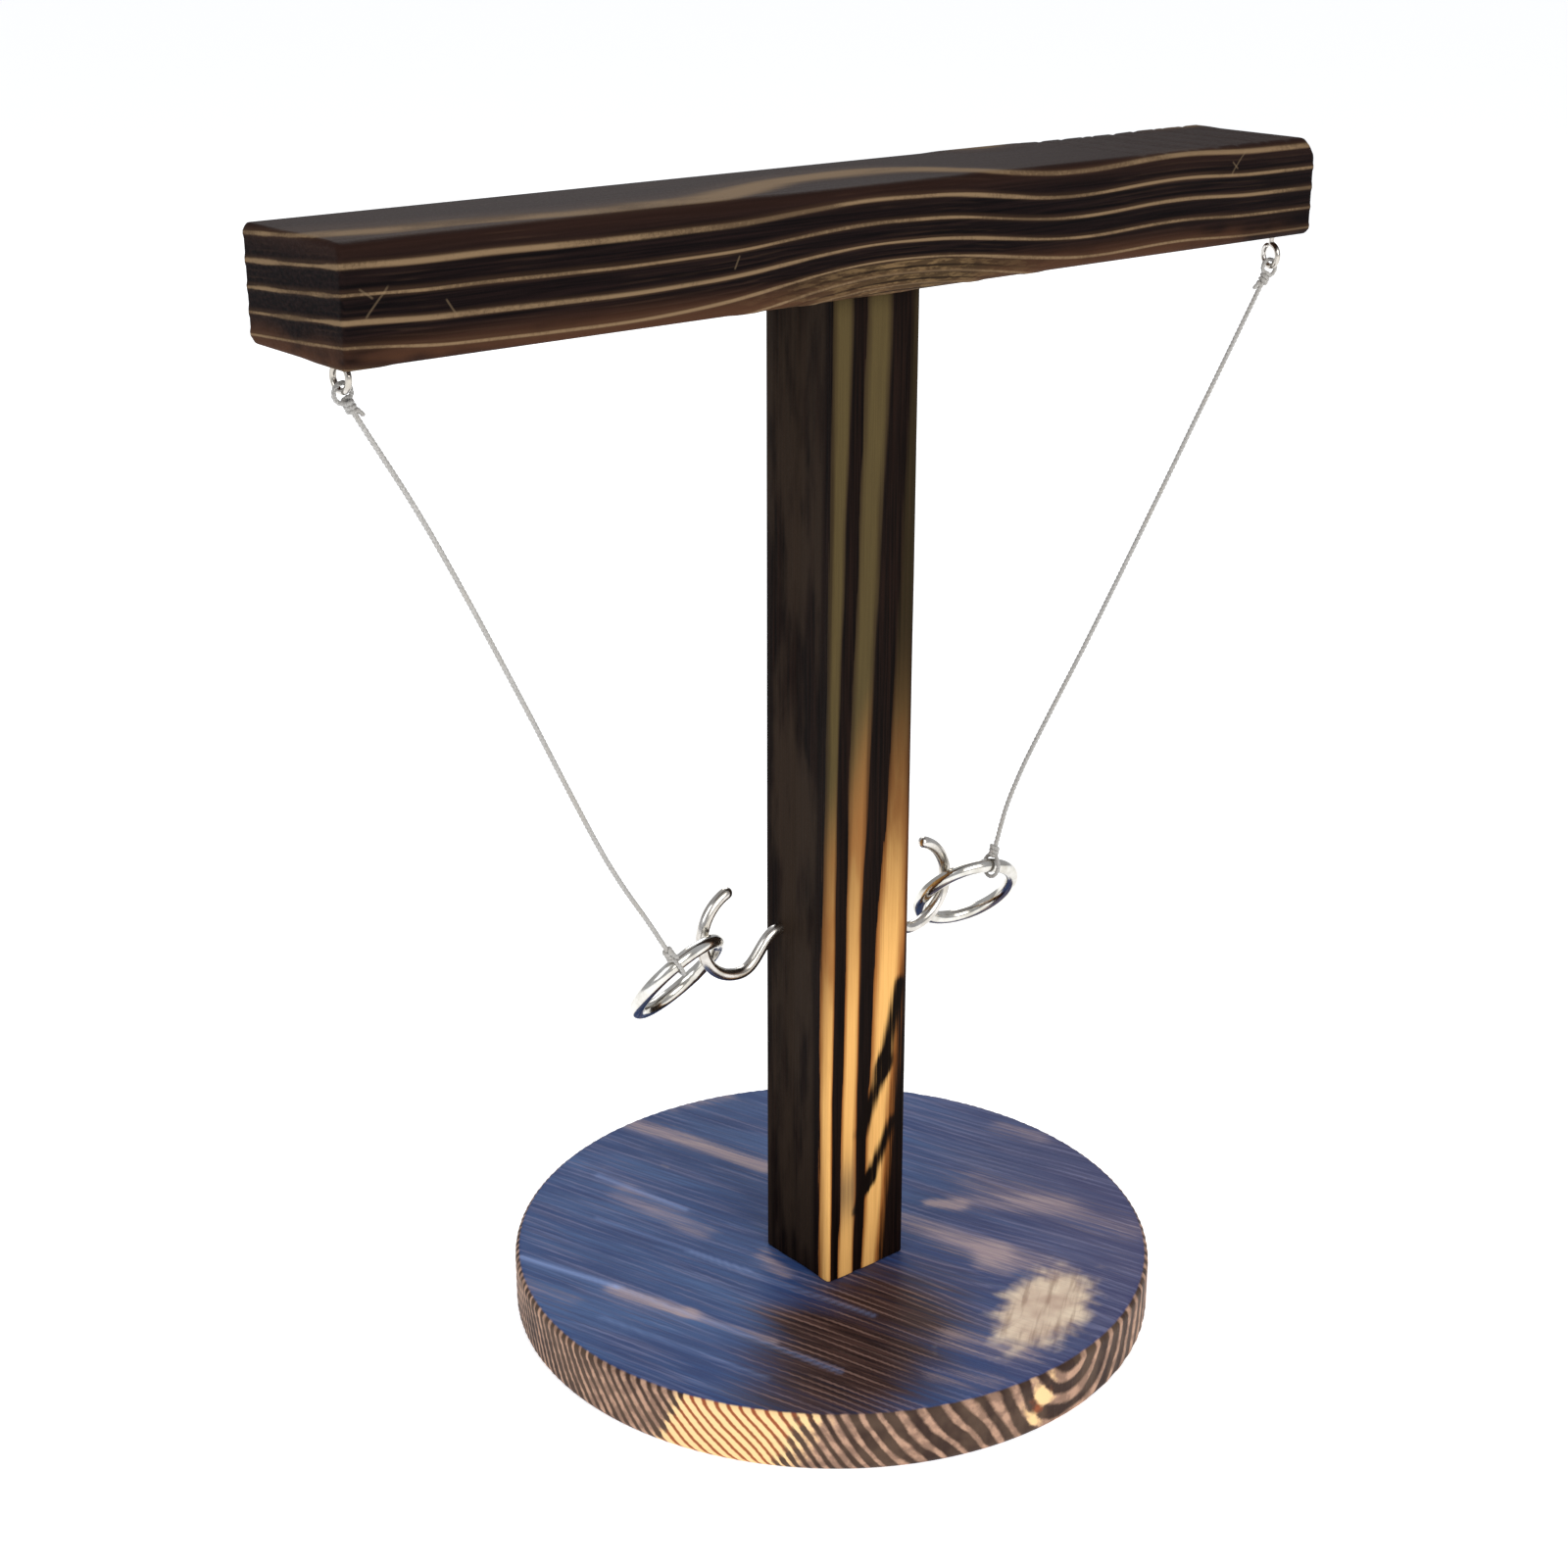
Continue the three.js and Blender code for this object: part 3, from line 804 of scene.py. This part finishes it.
def screw_cutter(node):
    """A closed turned shape a little larger than the screw, open below the foot."""
    low, high = box_of(node)
    middle, head = (low + high) / 2, (high[0] - low[0]) / 2 + CUTTER_GAP
    shank = SCREW_SHANK + CUTTER_GAP
    line = [(head, low[2] - 3), (head, low[2] + 0.8), (shank, low[2] + 3.2), (shank, BASE_TOP + 2)]
    spin = np.linspace(0, 2 * np.pi, CUTTER_SIDES, endpoint=False)
    circle = np.stack([np.cos(spin), np.sin(spin), np.zeros(CUTTER_SIDES)], 1)
    rings = [circle * r + (middle[0], middle[1], h) for r, h in line]
    faces = faces_between(len(line), CUTTER_SIDES)
    return piece_from(f"cutter_{node}", np.concatenate(rings), faces)


for node in ("front_base_screw", "rear_base_screw"):
    cutter = screw_cutter(node)
    drill = foot.modifiers.new("drill", "BOOLEAN")
    drill.operation, drill.object, drill.solver = "DIFFERENCE", cutter, "EXACT"
    cut = foot.evaluated_get(bpy.context.evaluated_depsgraph_get())
    drilled = bpy.data.meshes.new_from_object(cut)
    foot.modifiers.clear()
    foot.data = drilled
    bpy.data.objects.remove(cutter)
print("foot after drilling", len(foot.data.vertices), "points")

# %% [markdown]
# ## Shader sums
# A finish is worked out from marks and noise with sums. Wiring Math nodes by hand hides the
# sum, so a small class wraps a socket: a sum on it adds the nodes. Every other node comes
# from one method that takes its type, its settings and what goes into its sockets.

# %% Tap and Paint
WOOD_SHINE = 0.03  # char is almost without shine
VARNISH_SHINE = 0.12


def sums(operation):
    """The plain form of an operator, and the form for when the other value comes first."""
    def plain(self, other):
        return self.sum(operation, self, other)

    def reflected(self, other):
        return self.sum(operation, other, self)
    return plain, reflected


class Tap:
    """A value on its way through a finish. Sums on it add nodes."""

    def __init__(self, paint, socket):
        self.paint, self.socket = paint, socket

    def sum(self, operation, first, second):
        """A Vector Math node where a vector takes part, and a Math node otherwise."""
        terms = [t.socket.type if isinstance(t, Tap) else t for t in (first, second)]
        vectors = any(term == "VECTOR" or isinstance(term, tuple) for term in terms)
        kind = "ShaderNodeVectorMath" if vectors else "ShaderNodeMath"
        return self.paint.node(kind, {"operation": operation}, {0: first, 1: second})

    __add__, __radd__ = sums("ADD")
    __sub__, __rsub__ = sums("SUBTRACT")
    __mul__, __rmul__ = sums("MULTIPLY")
    __truediv__, __rtruediv__ = sums("DIVIDE")
    __mod__, __rmod__ = sums("FLOORED_MODULO")
    __pow__, __rpow__ = sums("POWER")

    def __neg__(self):
        return self * -1.0

    def __abs__(self):
        return self.sum("ABSOLUTE", self, 0.0)

    def off_line(self):
        """How far a ring number is from the nearest whole one."""
        return abs((self + 0.5) % 1.0 - 0.5)

    def other(self, name):
        """Another output of the same node."""
        return Tap(self.paint, self.socket.node.outputs[name])


def tone(red, green, blue):
    """A colour as a screen shows it, 0 to 255, as the shader's own linear numbers."""
    def linear(c):
        c = c / 255
        return c / 12.92 if c <= 0.04045 else ((c + 0.055) / 1.055) ** 2.4
    return (linear(red), linear(green), linear(blue), 1.0)


class Paint:
    """One finish: a Principled shader and the nodes that feed it."""

    def __init__(self, name):
        self.material = bpy.data.materials.new(name)
        self.material.use_nodes = True
        self.tree = self.material.node_tree
        self.shader = self.tree.nodes["Principled BSDF"]

    def feed(self, socket, value):
        """Links a tap to a socket, or sets a constant on it."""
        if isinstance(value, Tap):
            self.tree.links.new(value.socket, socket)
        else:
            socket.default_value = value

    def node(self, kind, settings, sockets, out=0):
        """Adds a node, sets it up, feeds its sockets, and taps one of its outputs."""
        made = self.tree.nodes.new(kind)
        for name, value in settings.items():
            setattr(made, name, value)
        for name, value in sockets.items():
            self.feed(made.inputs[name], value)
        return Tap(self, made.outputs[out])

    def mark(self, name):
        """A value that was left on the mesh's points."""
        return self.node("ShaderNodeAttribute", {"attribute_name": name}, {}, "Fac")

    def place(self, x=1.0, y=1.0, z=1.0, turn=0.0):
        """Where the point is, in millimetres, turned about Z and with each direction scaled."""
        here = self.node("ShaderNodeTexCoord", {}, {}, "Object")
        if turn:
            sockets = {"Vector": here, "Angle": turn}
            here = self.node("ShaderNodeVectorRotate", {"rotation_type": "Z_AXIS"}, sockets)
        return here * (x / MM, y / MM, z / MM)

    def parts(self, vector):
        """The three numbers of a vector."""
        first = self.node("ShaderNodeSeparateXYZ", {}, {"Vector": vector}, "X")
        return first, first.other("Y"), first.other("Z")

    def noise(self, size, detail=3.0, rough=0.55, turn=0.0):
        """Soft random values from about 0.3 to 0.7. The larger the size, the finer they are."""
        where = self.place(*np.broadcast_to(size, 3).tolist(), turn=turn)
        sockets = {"Vector": where, "Scale": 1.0, "Detail": detail, "Roughness": rough}
        return self.node("ShaderNodeTexNoise", {}, sockets)

    def ramp(self, value, low, high):
        """Zero below low, one above high, and smooth between them."""
        sockets = {"Value": value, "From Min": low, "From Max": high}
        return self.node("ShaderNodeMapRange", {"interpolation_type": "SMOOTHSTEP"}, sockets)

    def band(self, value, low, high, soft):
        """One between low and high, with soft edges."""
        rise = self.ramp(value, low - soft, low + soft)
        return rise * (1 - self.ramp(value, high - soft, high + soft))

    def line(self, rings, wide):
        """One on each whole ring number, that wide on both sides."""
        return 1 - self.ramp(rings.off_line(), wide * 0.35, wide)

    def mix(self, share, first, second):
        """From the first colour to the second by share."""
        settings = {"data_type": "RGBA", "clamp_factor": True}
        return self.node("ShaderNodeMix", settings, {0: share, 6: first, 7: second}, 2)

    def lay(self, colour, *coats):
        """Lays coats over a colour in turn, each by its share."""
        for share, coat in coats:
            colour = self.mix(share, colour, coat)
        return colour

    def bump(self, height, strength, reach):
        """A surface tilt from a height, with its reach in millimetres."""
        sockets = {"Height": height, "Strength": strength, "Distance": reach * MM}
        return self.node("ShaderNodeBump", {}, sockets)

    def finish(self, **sockets):
        """Feeds the Principled shader. An underscore stands for a space."""
        for name, value in sockets.items():
            self.feed(self.shader.inputs[name.replace("_", " ")], value)
        print(self.material.name, len(self.tree.nodes), "nodes")
        return self.material


print("a mid grey is", tuple(round(c, 3) for c in tone(128, 128, 128)))

# %% [markdown]
# ## Charred crossbar
# The torch turns the early wood almost black, and the brush brings the late-wood lines back
# to tan. The lines are not all as wide or as bright, the top has a browner film where soot
# was wiped off, and the swelling over the post shows brown figured wood with short flecks.

# %% Paint the crossbar
SCRATCHES = (  # where each starts and ends along the bar and above the table
    (-120.6, 249.0, -116.0, 253.9), (-119.0, 252.2, -121.5, 254.0), (-104.5, 250.5, -102.6, 247.6),
    (-41.2, 249.2, -40.0, 251.6), (96.8, 255.6, 101.2, 260.6), (99.0, 256.8, 97.2, 258.4),
)
beam = Paint("charred_beam")
rings, figure = beam.mark("rings"), beam.mark("figure")
x, y, z = beam.parts(beam.place())
fibres = beam.noise((0.03, 0.9, 1.6), 5.0, 0.6)
clouds = beam.noise((0.03, 0.06, 0.12))
grit = beam.noise(1.6, 3.0, 0.7)
flecks = beam.ramp(beam.noise((0.22, 0.5, 1.2), 4.0, 0.65), 0.46, 0.6)
edge = rings + (fibres - 0.5) * 0.05
wide = 0.085 + 0.07 * beam.ramp(beam.noise((0.004, 0.05, 0.19), 1.0), 0.42, 0.62)
core = 1 - beam.ramp(edge.off_line() / wide, 0.25, 1.0)
halo = 1 - beam.ramp((edge - 0.04).off_line(), 0.06, 0.24)
secondary = beam.line(rings * 4.0 + fibres * 0.8, 0.22) * beam.ramp(clouds, 0.5, 0.68)
arcs = beam.line(rings * 2.0 + fibres * 0.3, 0.2)
low_film = (1 - beam.ramp(z, 240.5, 247)) * beam.ramp(clouds, 0.3, 0.55)
bright = 0.35 + 0.5 * beam.ramp(clouds + (grit - 0.5) * 0.4, 0.38, 0.6)
colour = beam.lay(
    beam.mix(beam.ramp(fibres, 0.35, 0.7), tone(8, 5, 6), tone(27, 17, 16)),
    (beam.ramp(z, 256.5, 261.5) * 0.5, tone(50, 32, 25)),
    (low_film * 0.75, tone(80, 52, 36)),
    (figure * (0.3 + 0.6 * flecks), tone(112, 90, 62)),
    (figure * arcs * 0.85, tone(20, 13, 10)),
    (secondary * 0.2, tone(70, 52, 40)),
    (halo * 0.22, tone(84, 62, 44)),
    (core * bright, tone(128, 106, 80)),
)
on_front = (1 - beam.ramp(y, -23, -21)) * 0.22
for x0, z0, x1, z1 in SCRATCHES:
    long, high = x1 - x0, z1 - z0
    size = long * long + high * high
    share = ((x - x0) * long + (z - z0) * high) / size
    off = abs((x - x0) * high - (z - z0) * long) / math.sqrt(size)
    scratch = beam.band(share, 0.0, 1.0, 0.08) * (1 - beam.ramp(off, 0.08, 0.3))
    colour = beam.mix(scratch * on_front, colour, tone(140, 120, 94))
crossbar.data.materials.append(beam.finish(
    Base_Color=colour, Roughness=0.5 + 0.22 * grit + 0.1 * core,
    Normal=beam.bump(fibres * 0.5 + core * 0.3 + grit * 0.2, 0.35, 0.5),
    Specular_IOR_Level=WOOD_SHINE,
))

# %% [markdown]
# ## Charred post
# Three honey bands stand between black ones on the front. Their edges are fibrous along the
# post, and slanting burns cross them low down. They carry painted sunlight near the foot, and
# towards the top a painted shadow of the crossbar dims them to olive brown. The side that
# lies along one ring is almost evenly dark.

# %% Paint the post
stake = Paint("charred_post")
unburnt = stake.mark("unburnt")
fibres = stake.noise((1.5, 1.5, 0.03), 5.0, 0.62)
threads = stake.noise((5.0, 5.0, 0.06), 3.0, 0.6)
clouds = stake.noise((0.14, 0.14, 0.03))
grit = stake.noise(1.5, 3.0, 0.7)
bands = stake.mark("bands") + (fibres - 0.5) * 0.3 - 1.0
inside = 0.5 - abs(bands % 2.0 - 0.5)
pale = stake.ramp(inside, -0.07, 0.07)
inner = stake.ramp(threads, 0.4, 0.62) * 0.25
# The bands' colours follow the painted sunlight: olive brown in the crossbar's painted shadow,
# bright honey near the foot, and warm brown where one fades into the other.
warm = unburnt * (1 - unburnt) * 4.0
face = stake.lay(
    stake.mix(unburnt, tone(80, 68, 42), tone(236, 182, 108)),
    (inner, stake.mix(unburnt, tone(60, 50, 32), tone(192, 132, 70))),
    (warm * (0.25 + 0.5 * stake.ramp(clouds, 0.4, 0.62)), tone(134, 82, 42)),
)
skin = stake.mix(unburnt, tone(52, 41, 27), tone(150, 92, 44))
face = stake.mix(stake.ramp(inside, 0.0, 0.3), skin, face)
on_front = stake.ramp(bands, -0.35, -0.15)
# Painted shade: the further bands are darkened more where the painted sunlight is missing.
top_dark = stake.ramp(bands, 3.2, 3.8) * (1 - unburnt)
burnt = stake.mark("burn") + (fibres - 0.5) * 0.9 + (threads - 0.5) * 0.4
colour = stake.lay(
    stake.mix(stake.ramp(fibres, 0.35, 0.7), tone(9, 5, 4), tone(30, 18, 13)),
    ((1 - on_front) * stake.ramp(clouds, 0.38, 0.62) * 0.7, tone(50, 39, 30)),
    (pale * on_front * (1 - top_dark * 0.75), face),
    (stake.ramp(burnt, 0.3, 0.95), tone(16, 9, 6)),
    (stake.mark("smoke") * pale * (0.6 + 0.4 * inner), tone(96, 82, 64)),
)
post.data.materials.append(stake.finish(
    Base_Color=colour, Roughness=0.46 + 0.20 * grit + 0.10 * pale,
    Normal=stake.bump(fibres * 0.6 + threads * 0.3 + grit * 0.1, 0.35, 0.5),
    Specular_IOR_Level=WOOD_SHINE,
))

# %% [markdown]
# ## Foot, stained and painted with the sky's reflection
# The top is blue grey under a thin varnish, partly stained and partly a painted reflection
# of the sky, and the rim is left charred brown. Both are one finish that chooses by the mark
# on the rim, because they meet at a hard edge.

# %% Paint the foot: its top
disc = Paint("stained_base")
x, y, _ = disc.parts(disc.place())
fibres = disc.noise((1.5, 0.045, 0.8), 5.0, 0.62, -GRAIN_TURN)
ribbons = disc.noise((0.42, 0.03, 0.3), 3.0, 0.6, -GRAIN_TURN)
clouds = disc.noise((0.16, 0.022, 0.1), turn=-GRAIN_TURN)
grit = disc.noise(1.5, 3.0, 0.7)
brown = disc.mark("brown") + (clouds - 0.5) + (fibres - 0.5) * 0.35 + (ribbons - 0.5) * 0.3
brown = disc.ramp(brown, 0.08, 0.95)
violet = disc.ramp(x - y * 0.8 + (ribbons - 0.5) * 60, 5, 95)
top_rings = disc.mark("top_rings") + (fibres - 0.5) * 0.35
fine = disc.line(top_rings, 0.24) * disc.ramp(ribbons, 0.38, 0.62)
rub = disc.mark("rubbed") * (0.2 + 1.4 * ribbons) + (fibres - 0.5) * 0.9 + (clouds - 0.5) * 0.3
earth = disc.mix(disc.ramp(fibres, 0.35, 0.65), tone(34, 20, 21), tone(70, 48, 44))
line_tone = disc.mix(brown, tone(122, 126, 160), tone(150, 118, 106))
rub_tone = disc.mix(fibres, tone(140, 116, 128), tone(204, 182, 172))
# Blue grey over the top, partly stained and partly a painted reflection of the sky, turning violet
# towards the right; the brown in front of the post is where that painted reflection gives way.
stain_and_sky_reflection = disc.lay(
    disc.mix(disc.ramp(clouds, 0.35, 0.65), tone(46, 70, 117), tone(68, 95, 140)),
    (violet * 0.75, tone(82, 76, 106)),
    (disc.ramp(ribbons, 0.48, 0.68) * 0.35, tone(116, 116, 146)),
    (disc.ramp(fibres, 0.3, 0.7) * 0.55, tone(38, 44, 84)),
    (brown, earth),
    (fine * (0.32 + 0.16 * brown), line_tone),
    (disc.ramp(rub, 0.14, 0.95) * 0.78, rub_tone),
    (disc.mark("hair") * 0.6, tone(140, 162, 212)),
)
print("the stain takes", len(disc.tree.nodes), "nodes")

# %% Paint the foot: the knot
COMB_TURN = math.radians(-38)
bays = disc.noise((0.16, 0.16, 0.1), 2.0, 0.5)
comb = disc.noise((0.07, 0.75, 0.4), 2.0, 0.5, COMB_TURN)
from_knot = {0: y - KNOT_PLACE[1], 1: x - KNOT_PLACE[0]}
ray = disc.node("ShaderNodeMath", {"operation": "ARCTAN2"}, from_knot)
rays = abs((ray * 3.4 + bays * 2.0) % 1.0 - 0.5)
pale_knot = disc.mark("pale_knot")
knot = pale_knot + (bays - 0.5) * 0.9 + (rays - 0.25) * 0.1 + (ribbons - 0.5) * 0.35
wood = disc.lay(
    disc.mix(disc.ramp(bays, 0.2, 0.8), tone(196, 168, 146), tone(236, 216, 188)),
    (disc.ramp(comb, 0.46, 0.72) * 0.5, tone(134, 102, 78)),
    ((1 - disc.ramp(rays, 0.04, 0.26)) * (1 - pale_knot) * 0.35, tone(110, 88, 84)),
)
stain_and_sky_reflection = disc.mix(disc.ramp(knot, 0.2, 0.82) * 0.92, stain_and_sky_reflection, wood)
print("with the knot", len(disc.tree.nodes), "nodes")

# %% Paint the foot: its rim
on_rim = disc.mark("on_rim")
mottle = disc.noise(0.3)
rim_rings = disc.mark("rim_rings") + (grit - 0.5) * 0.12
rim_rings = rim_rings + (disc.noise((0.12, 0.12, 0.2)) - 0.5) * 0.35
rim_wide = 0.2 + 0.16 * disc.ramp(disc.noise((0.06, 0.06, 0.04), 1.0), 0.4, 0.6)
rim_line = 1 - disc.ramp(rim_rings.off_line() / rim_wide, 0.35, 1.1)
rim_pale = disc.mix(disc.ramp(mottle, 0.4, 0.62), tone(146, 116, 98), tone(190, 152, 128))
gold = disc.mix(disc.line(rim_rings + 0.5, 0.27), tone(246, 206, 150), tone(150, 82, 50))
honey = disc.mark("honey") + (mottle - 0.5) * 0.9 + (rim_line - 0.5) * 0.35
rim = disc.lay(
    disc.mix(disc.ramp(clouds, 0.35, 0.65), tone(56, 40, 34), tone(84, 66, 54)),
    (rim_line * 0.9, rim_pale),
    (disc.ramp(honey, 0.3, 0.75), gold),
)
foot.data.materials.clear()
foot.data.materials.append(disc.finish(
    Base_Color=disc.mix(on_rim, stain_and_sky_reflection, rim), Roughness=0.42 + 0.18 * grit + 0.1 * on_rim,
    Normal=disc.bump(fibres * 0.45 + grit * 0.15 + fine * 0.4, 0.3, 0.4),
    Specular_IOR_Level=VARNISH_SHINE,
))

# %% [markdown]
# ## Bright wire
# Hooks, eyes and rings are nickel plated. Plating shows the room, so most of its look comes
# from the lights. What the finish adds is a slight warm cast in patches, and fine rubbing
# that dulls it here and there.

# %% Paint the wire
def plated(name, light, shade, rough):
    """Nickel plate between two tones."""
    plate = Paint(name)
    cloud = plate.noise(0.22)
    rubs = plate.noise(3.5, 4.0, 0.7)
    colour = plate.mix(plate.ramp(cloud, 0.35, 0.65), tone(*shade), tone(*light))
    colour = plate.mix(plate.ramp(rubs, 0.58, 0.75) * 0.35, colour, tone(150, 138, 122))
    return plate.finish(
        Base_Color=colour, Metallic=1.0, Roughness=rough + 0.16 * rubs,
        Normal=plate.bump(rubs, 0.05, 0.1),
    )


hook_wire = plated("hook_wire", (214, 210, 204), (186, 180, 170), 0.12)
ring_nickel = plated("ring_nickel", (222, 220, 214), (194, 190, 180), 0.08)
for hand in HANDS.values():
    hand["hook"].data.materials.append(hook_wire)
    hand["eye_piece"].data.materials.append(hook_wire)
    hand["ring"].data.materials.append(ring_nickel)

# %% [markdown]
# ## Cotton
# Bleached cotton is matt and slightly grey in the grooves between its strands. The lay is
# in the mesh, so the finish adds the finer fibres, a little fluff and a soft sheen.

# %% Paint the string
cotton = Paint("string_cotton")
fluff = cotton.noise(5.0, 4.0, 0.7)
patch = cotton.noise(0.12, 2.0)
colour = cotton.mix(cotton.ramp(fluff, 0.35, 0.65), tone(132, 130, 126), tone(190, 188, 184))
colour = cotton.mix(cotton.ramp(patch, 0.45, 0.65) * 0.35, colour, tone(166, 160, 150))
string_cotton = cotton.finish(
    Base_Color=colour, Roughness=0.85 + 0.1 * fluff, Normal=cotton.bump(fluff, 0.5, 0.15),
    Sheen_Weight=0.25, Sheen_Roughness=0.5,
)
for hand in HANDS.values():
    for key in ("string", "ring_knot", "top_knot"):
        hand[key].data.materials.append(string_cotton)

# %% [markdown]
# ## Hidden parts
# The dowels and the foot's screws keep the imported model's own shapes. They are seen only
# when the set is taken apart or turned over, and they still get beech and zinc finishes.

# %% Paint the dowels and screws
beech = Paint("dowel_wood")
pores = beech.noise((3.0, 3.0, 0.25), 4.0, 0.6)
beech_rings = beech.noise((0.8, 0.8, 0.05), 2.0)
colour = beech.mix(beech.ramp(pores, 0.4, 0.62), tone(206, 168, 122), tone(176, 134, 92))
colour = beech.mix(beech.ramp(beech_rings, 0.45, 0.6) * 0.4, colour, tone(190, 146, 98))
dowel_wood = beech.finish(
    Base_Color=colour, Roughness=0.55 + 0.2 * pores, Normal=beech.bump(pores, 0.3, 0.2)
)
zinc = Paint("zinc_screw")
spangle = zinc.noise(0.9, 2.0)
wear = zinc.noise(4.0, 4.0, 0.7)
colour = zinc.mix(zinc.ramp(spangle, 0.4, 0.6), tone(176, 176, 172), tone(206, 204, 194))
zinc_screw = zinc.finish(
    Base_Color=colour, Metallic=1.0, Roughness=0.25 + 0.25 * wear,
    Normal=zinc.bump(wear, 0.2, 0.15),
)
KEPT = {
    "left_dowel": dowel_wood, "right_dowel": dowel_wood,
    "front_base_screw": zinc_screw, "rear_base_screw": zinc_screw,
}
for node, material in KEPT.items():
    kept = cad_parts[node]
    kept.data.materials.clear()
    kept.data.materials.append(material)

# %% [markdown]
# ## Join the frame
# Each new piece stands for a imported node, and all but the strings move with that node's
# body. The strings cross from the stand to a ring that can be lifted off its hook. Where the
# last part of each would bend, and how far, is worked out nearly level and not along the
# string, but the string is not bent.

# %% Ride and replace
BENDS = {  # how far along the string a bend would start, and the slope it would be measured on
    "left": (0.8, math.radians(-6)), "right": (0.88, math.radians(-12)),
}


def stands_for(piece, node):
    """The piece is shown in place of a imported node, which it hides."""
    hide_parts(node)
    return piece


for piece, node, slot in (
    (crossbar, "crossbar", "charred_beam"),
    (post, "post", "charred_post"),
    (foot, "base_disc", "stained_base"),
):
    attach(stands_for(piece, node), "stand")
for name, hand in HANDS.items():
    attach(stands_for(hand["hook"], f"{name}_hook"), "stand")
    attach(stands_for(hand["eye_piece"], f"{name}_screw_eye"), "stand")
    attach(stands_for(hand["top_knot"], f"{name}_top_knot"), "stand")
    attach(stands_for(hand["ring_knot"], f"{name}_ring_knot"), f"{name}_tether")
    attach(stands_for(hand["ring"], f"{name}_ring"), f"{name}_ring")
    string = stands_for(hand["string"], f"{name}_string")
    line = hand["string_line"]
    share, slope = BENDS[name]
    bend_from = line[int(len(line) * share)]
    inwards = np.array([-hand["side"] * math.cos(slope), 0, math.sin(slope)])
    bend_to = bend_from + inwards * (line[-1] - bend_from).dot(inwards)
    tuple(bend_from * MM)
    tuple(bend_to * MM)
    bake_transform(string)
    tuple(line[0] * MM)
    (line * MM).tolist()

# %% [markdown]
# ## Floor and light
# A pale floor that reaches the horizon and a large soft window on each side show dark wood
# and bright wire alike. The sky is a plain grey, so the wire keeps darker edges.

# %% Lay the floor and set the lights
FLOOR_GLOW = 0.55
bpy.ops.mesh.primitive_plane_add(size=60, location=(0, 0, 0))
floor = bpy.context.object
floor.name = "floor"
plain = Paint("pale_floor")
dust = plain.noise(0.01, 2.0)
floor.data.materials.append(
    plain.finish(
        Base_Color=plain.mix(dust * 0.2, tone(246, 246, 246), tone(240, 240, 240)), Roughness=0.9,
        Emission_Color=(1.0, 1.0, 1.0, 1.0), Emission_Strength=FLOOR_GLOW, Specular_IOR_Level=0.1,
    )
)


def window(name, place, target, size, power, colour):
    """A soft square light that faces a point."""
    light = bpy.data.lights.new(name, "AREA")
    light.shape, light.size, light.energy, light.color = "SQUARE", size, power, colour
    lamp = bpy.data.objects.new(name, light)
    bpy.context.scene.collection.objects.link(lamp)
    lamp.location = place
    aim = Vector(target) - Vector(place)
    lamp.rotation_euler = aim.to_track_quat("-Z", "Y").to_euler()
    return lamp


MIDDLE = (0, 0, 0.13)
window("front_window", (-0.2, -1.3, 0.9), MIDDLE, 0.9, 12, (1.0, 0.97, 0.93))
window("left_window", (-1.3, -0.1, 1.0), MIDDLE, 0.9, 7, (0.93, 0.96, 1.0))
window("back_window", (0.8, 1.3, 1.2), MIDDLE, 0.9, 8, (1.0, 1.0, 1.0))
world = bpy.data.worlds.new("room")
bpy.context.scene.world = world
world.use_nodes = True
sky = world.node_tree.nodes["Background"]
sky.inputs["Color"].default_value = (0.93, 0.95, 1.0, 1.0)
sky.inputs["Strength"].default_value = 0.5
bpy.context.scene.view_settings.view_transform = "Standard"
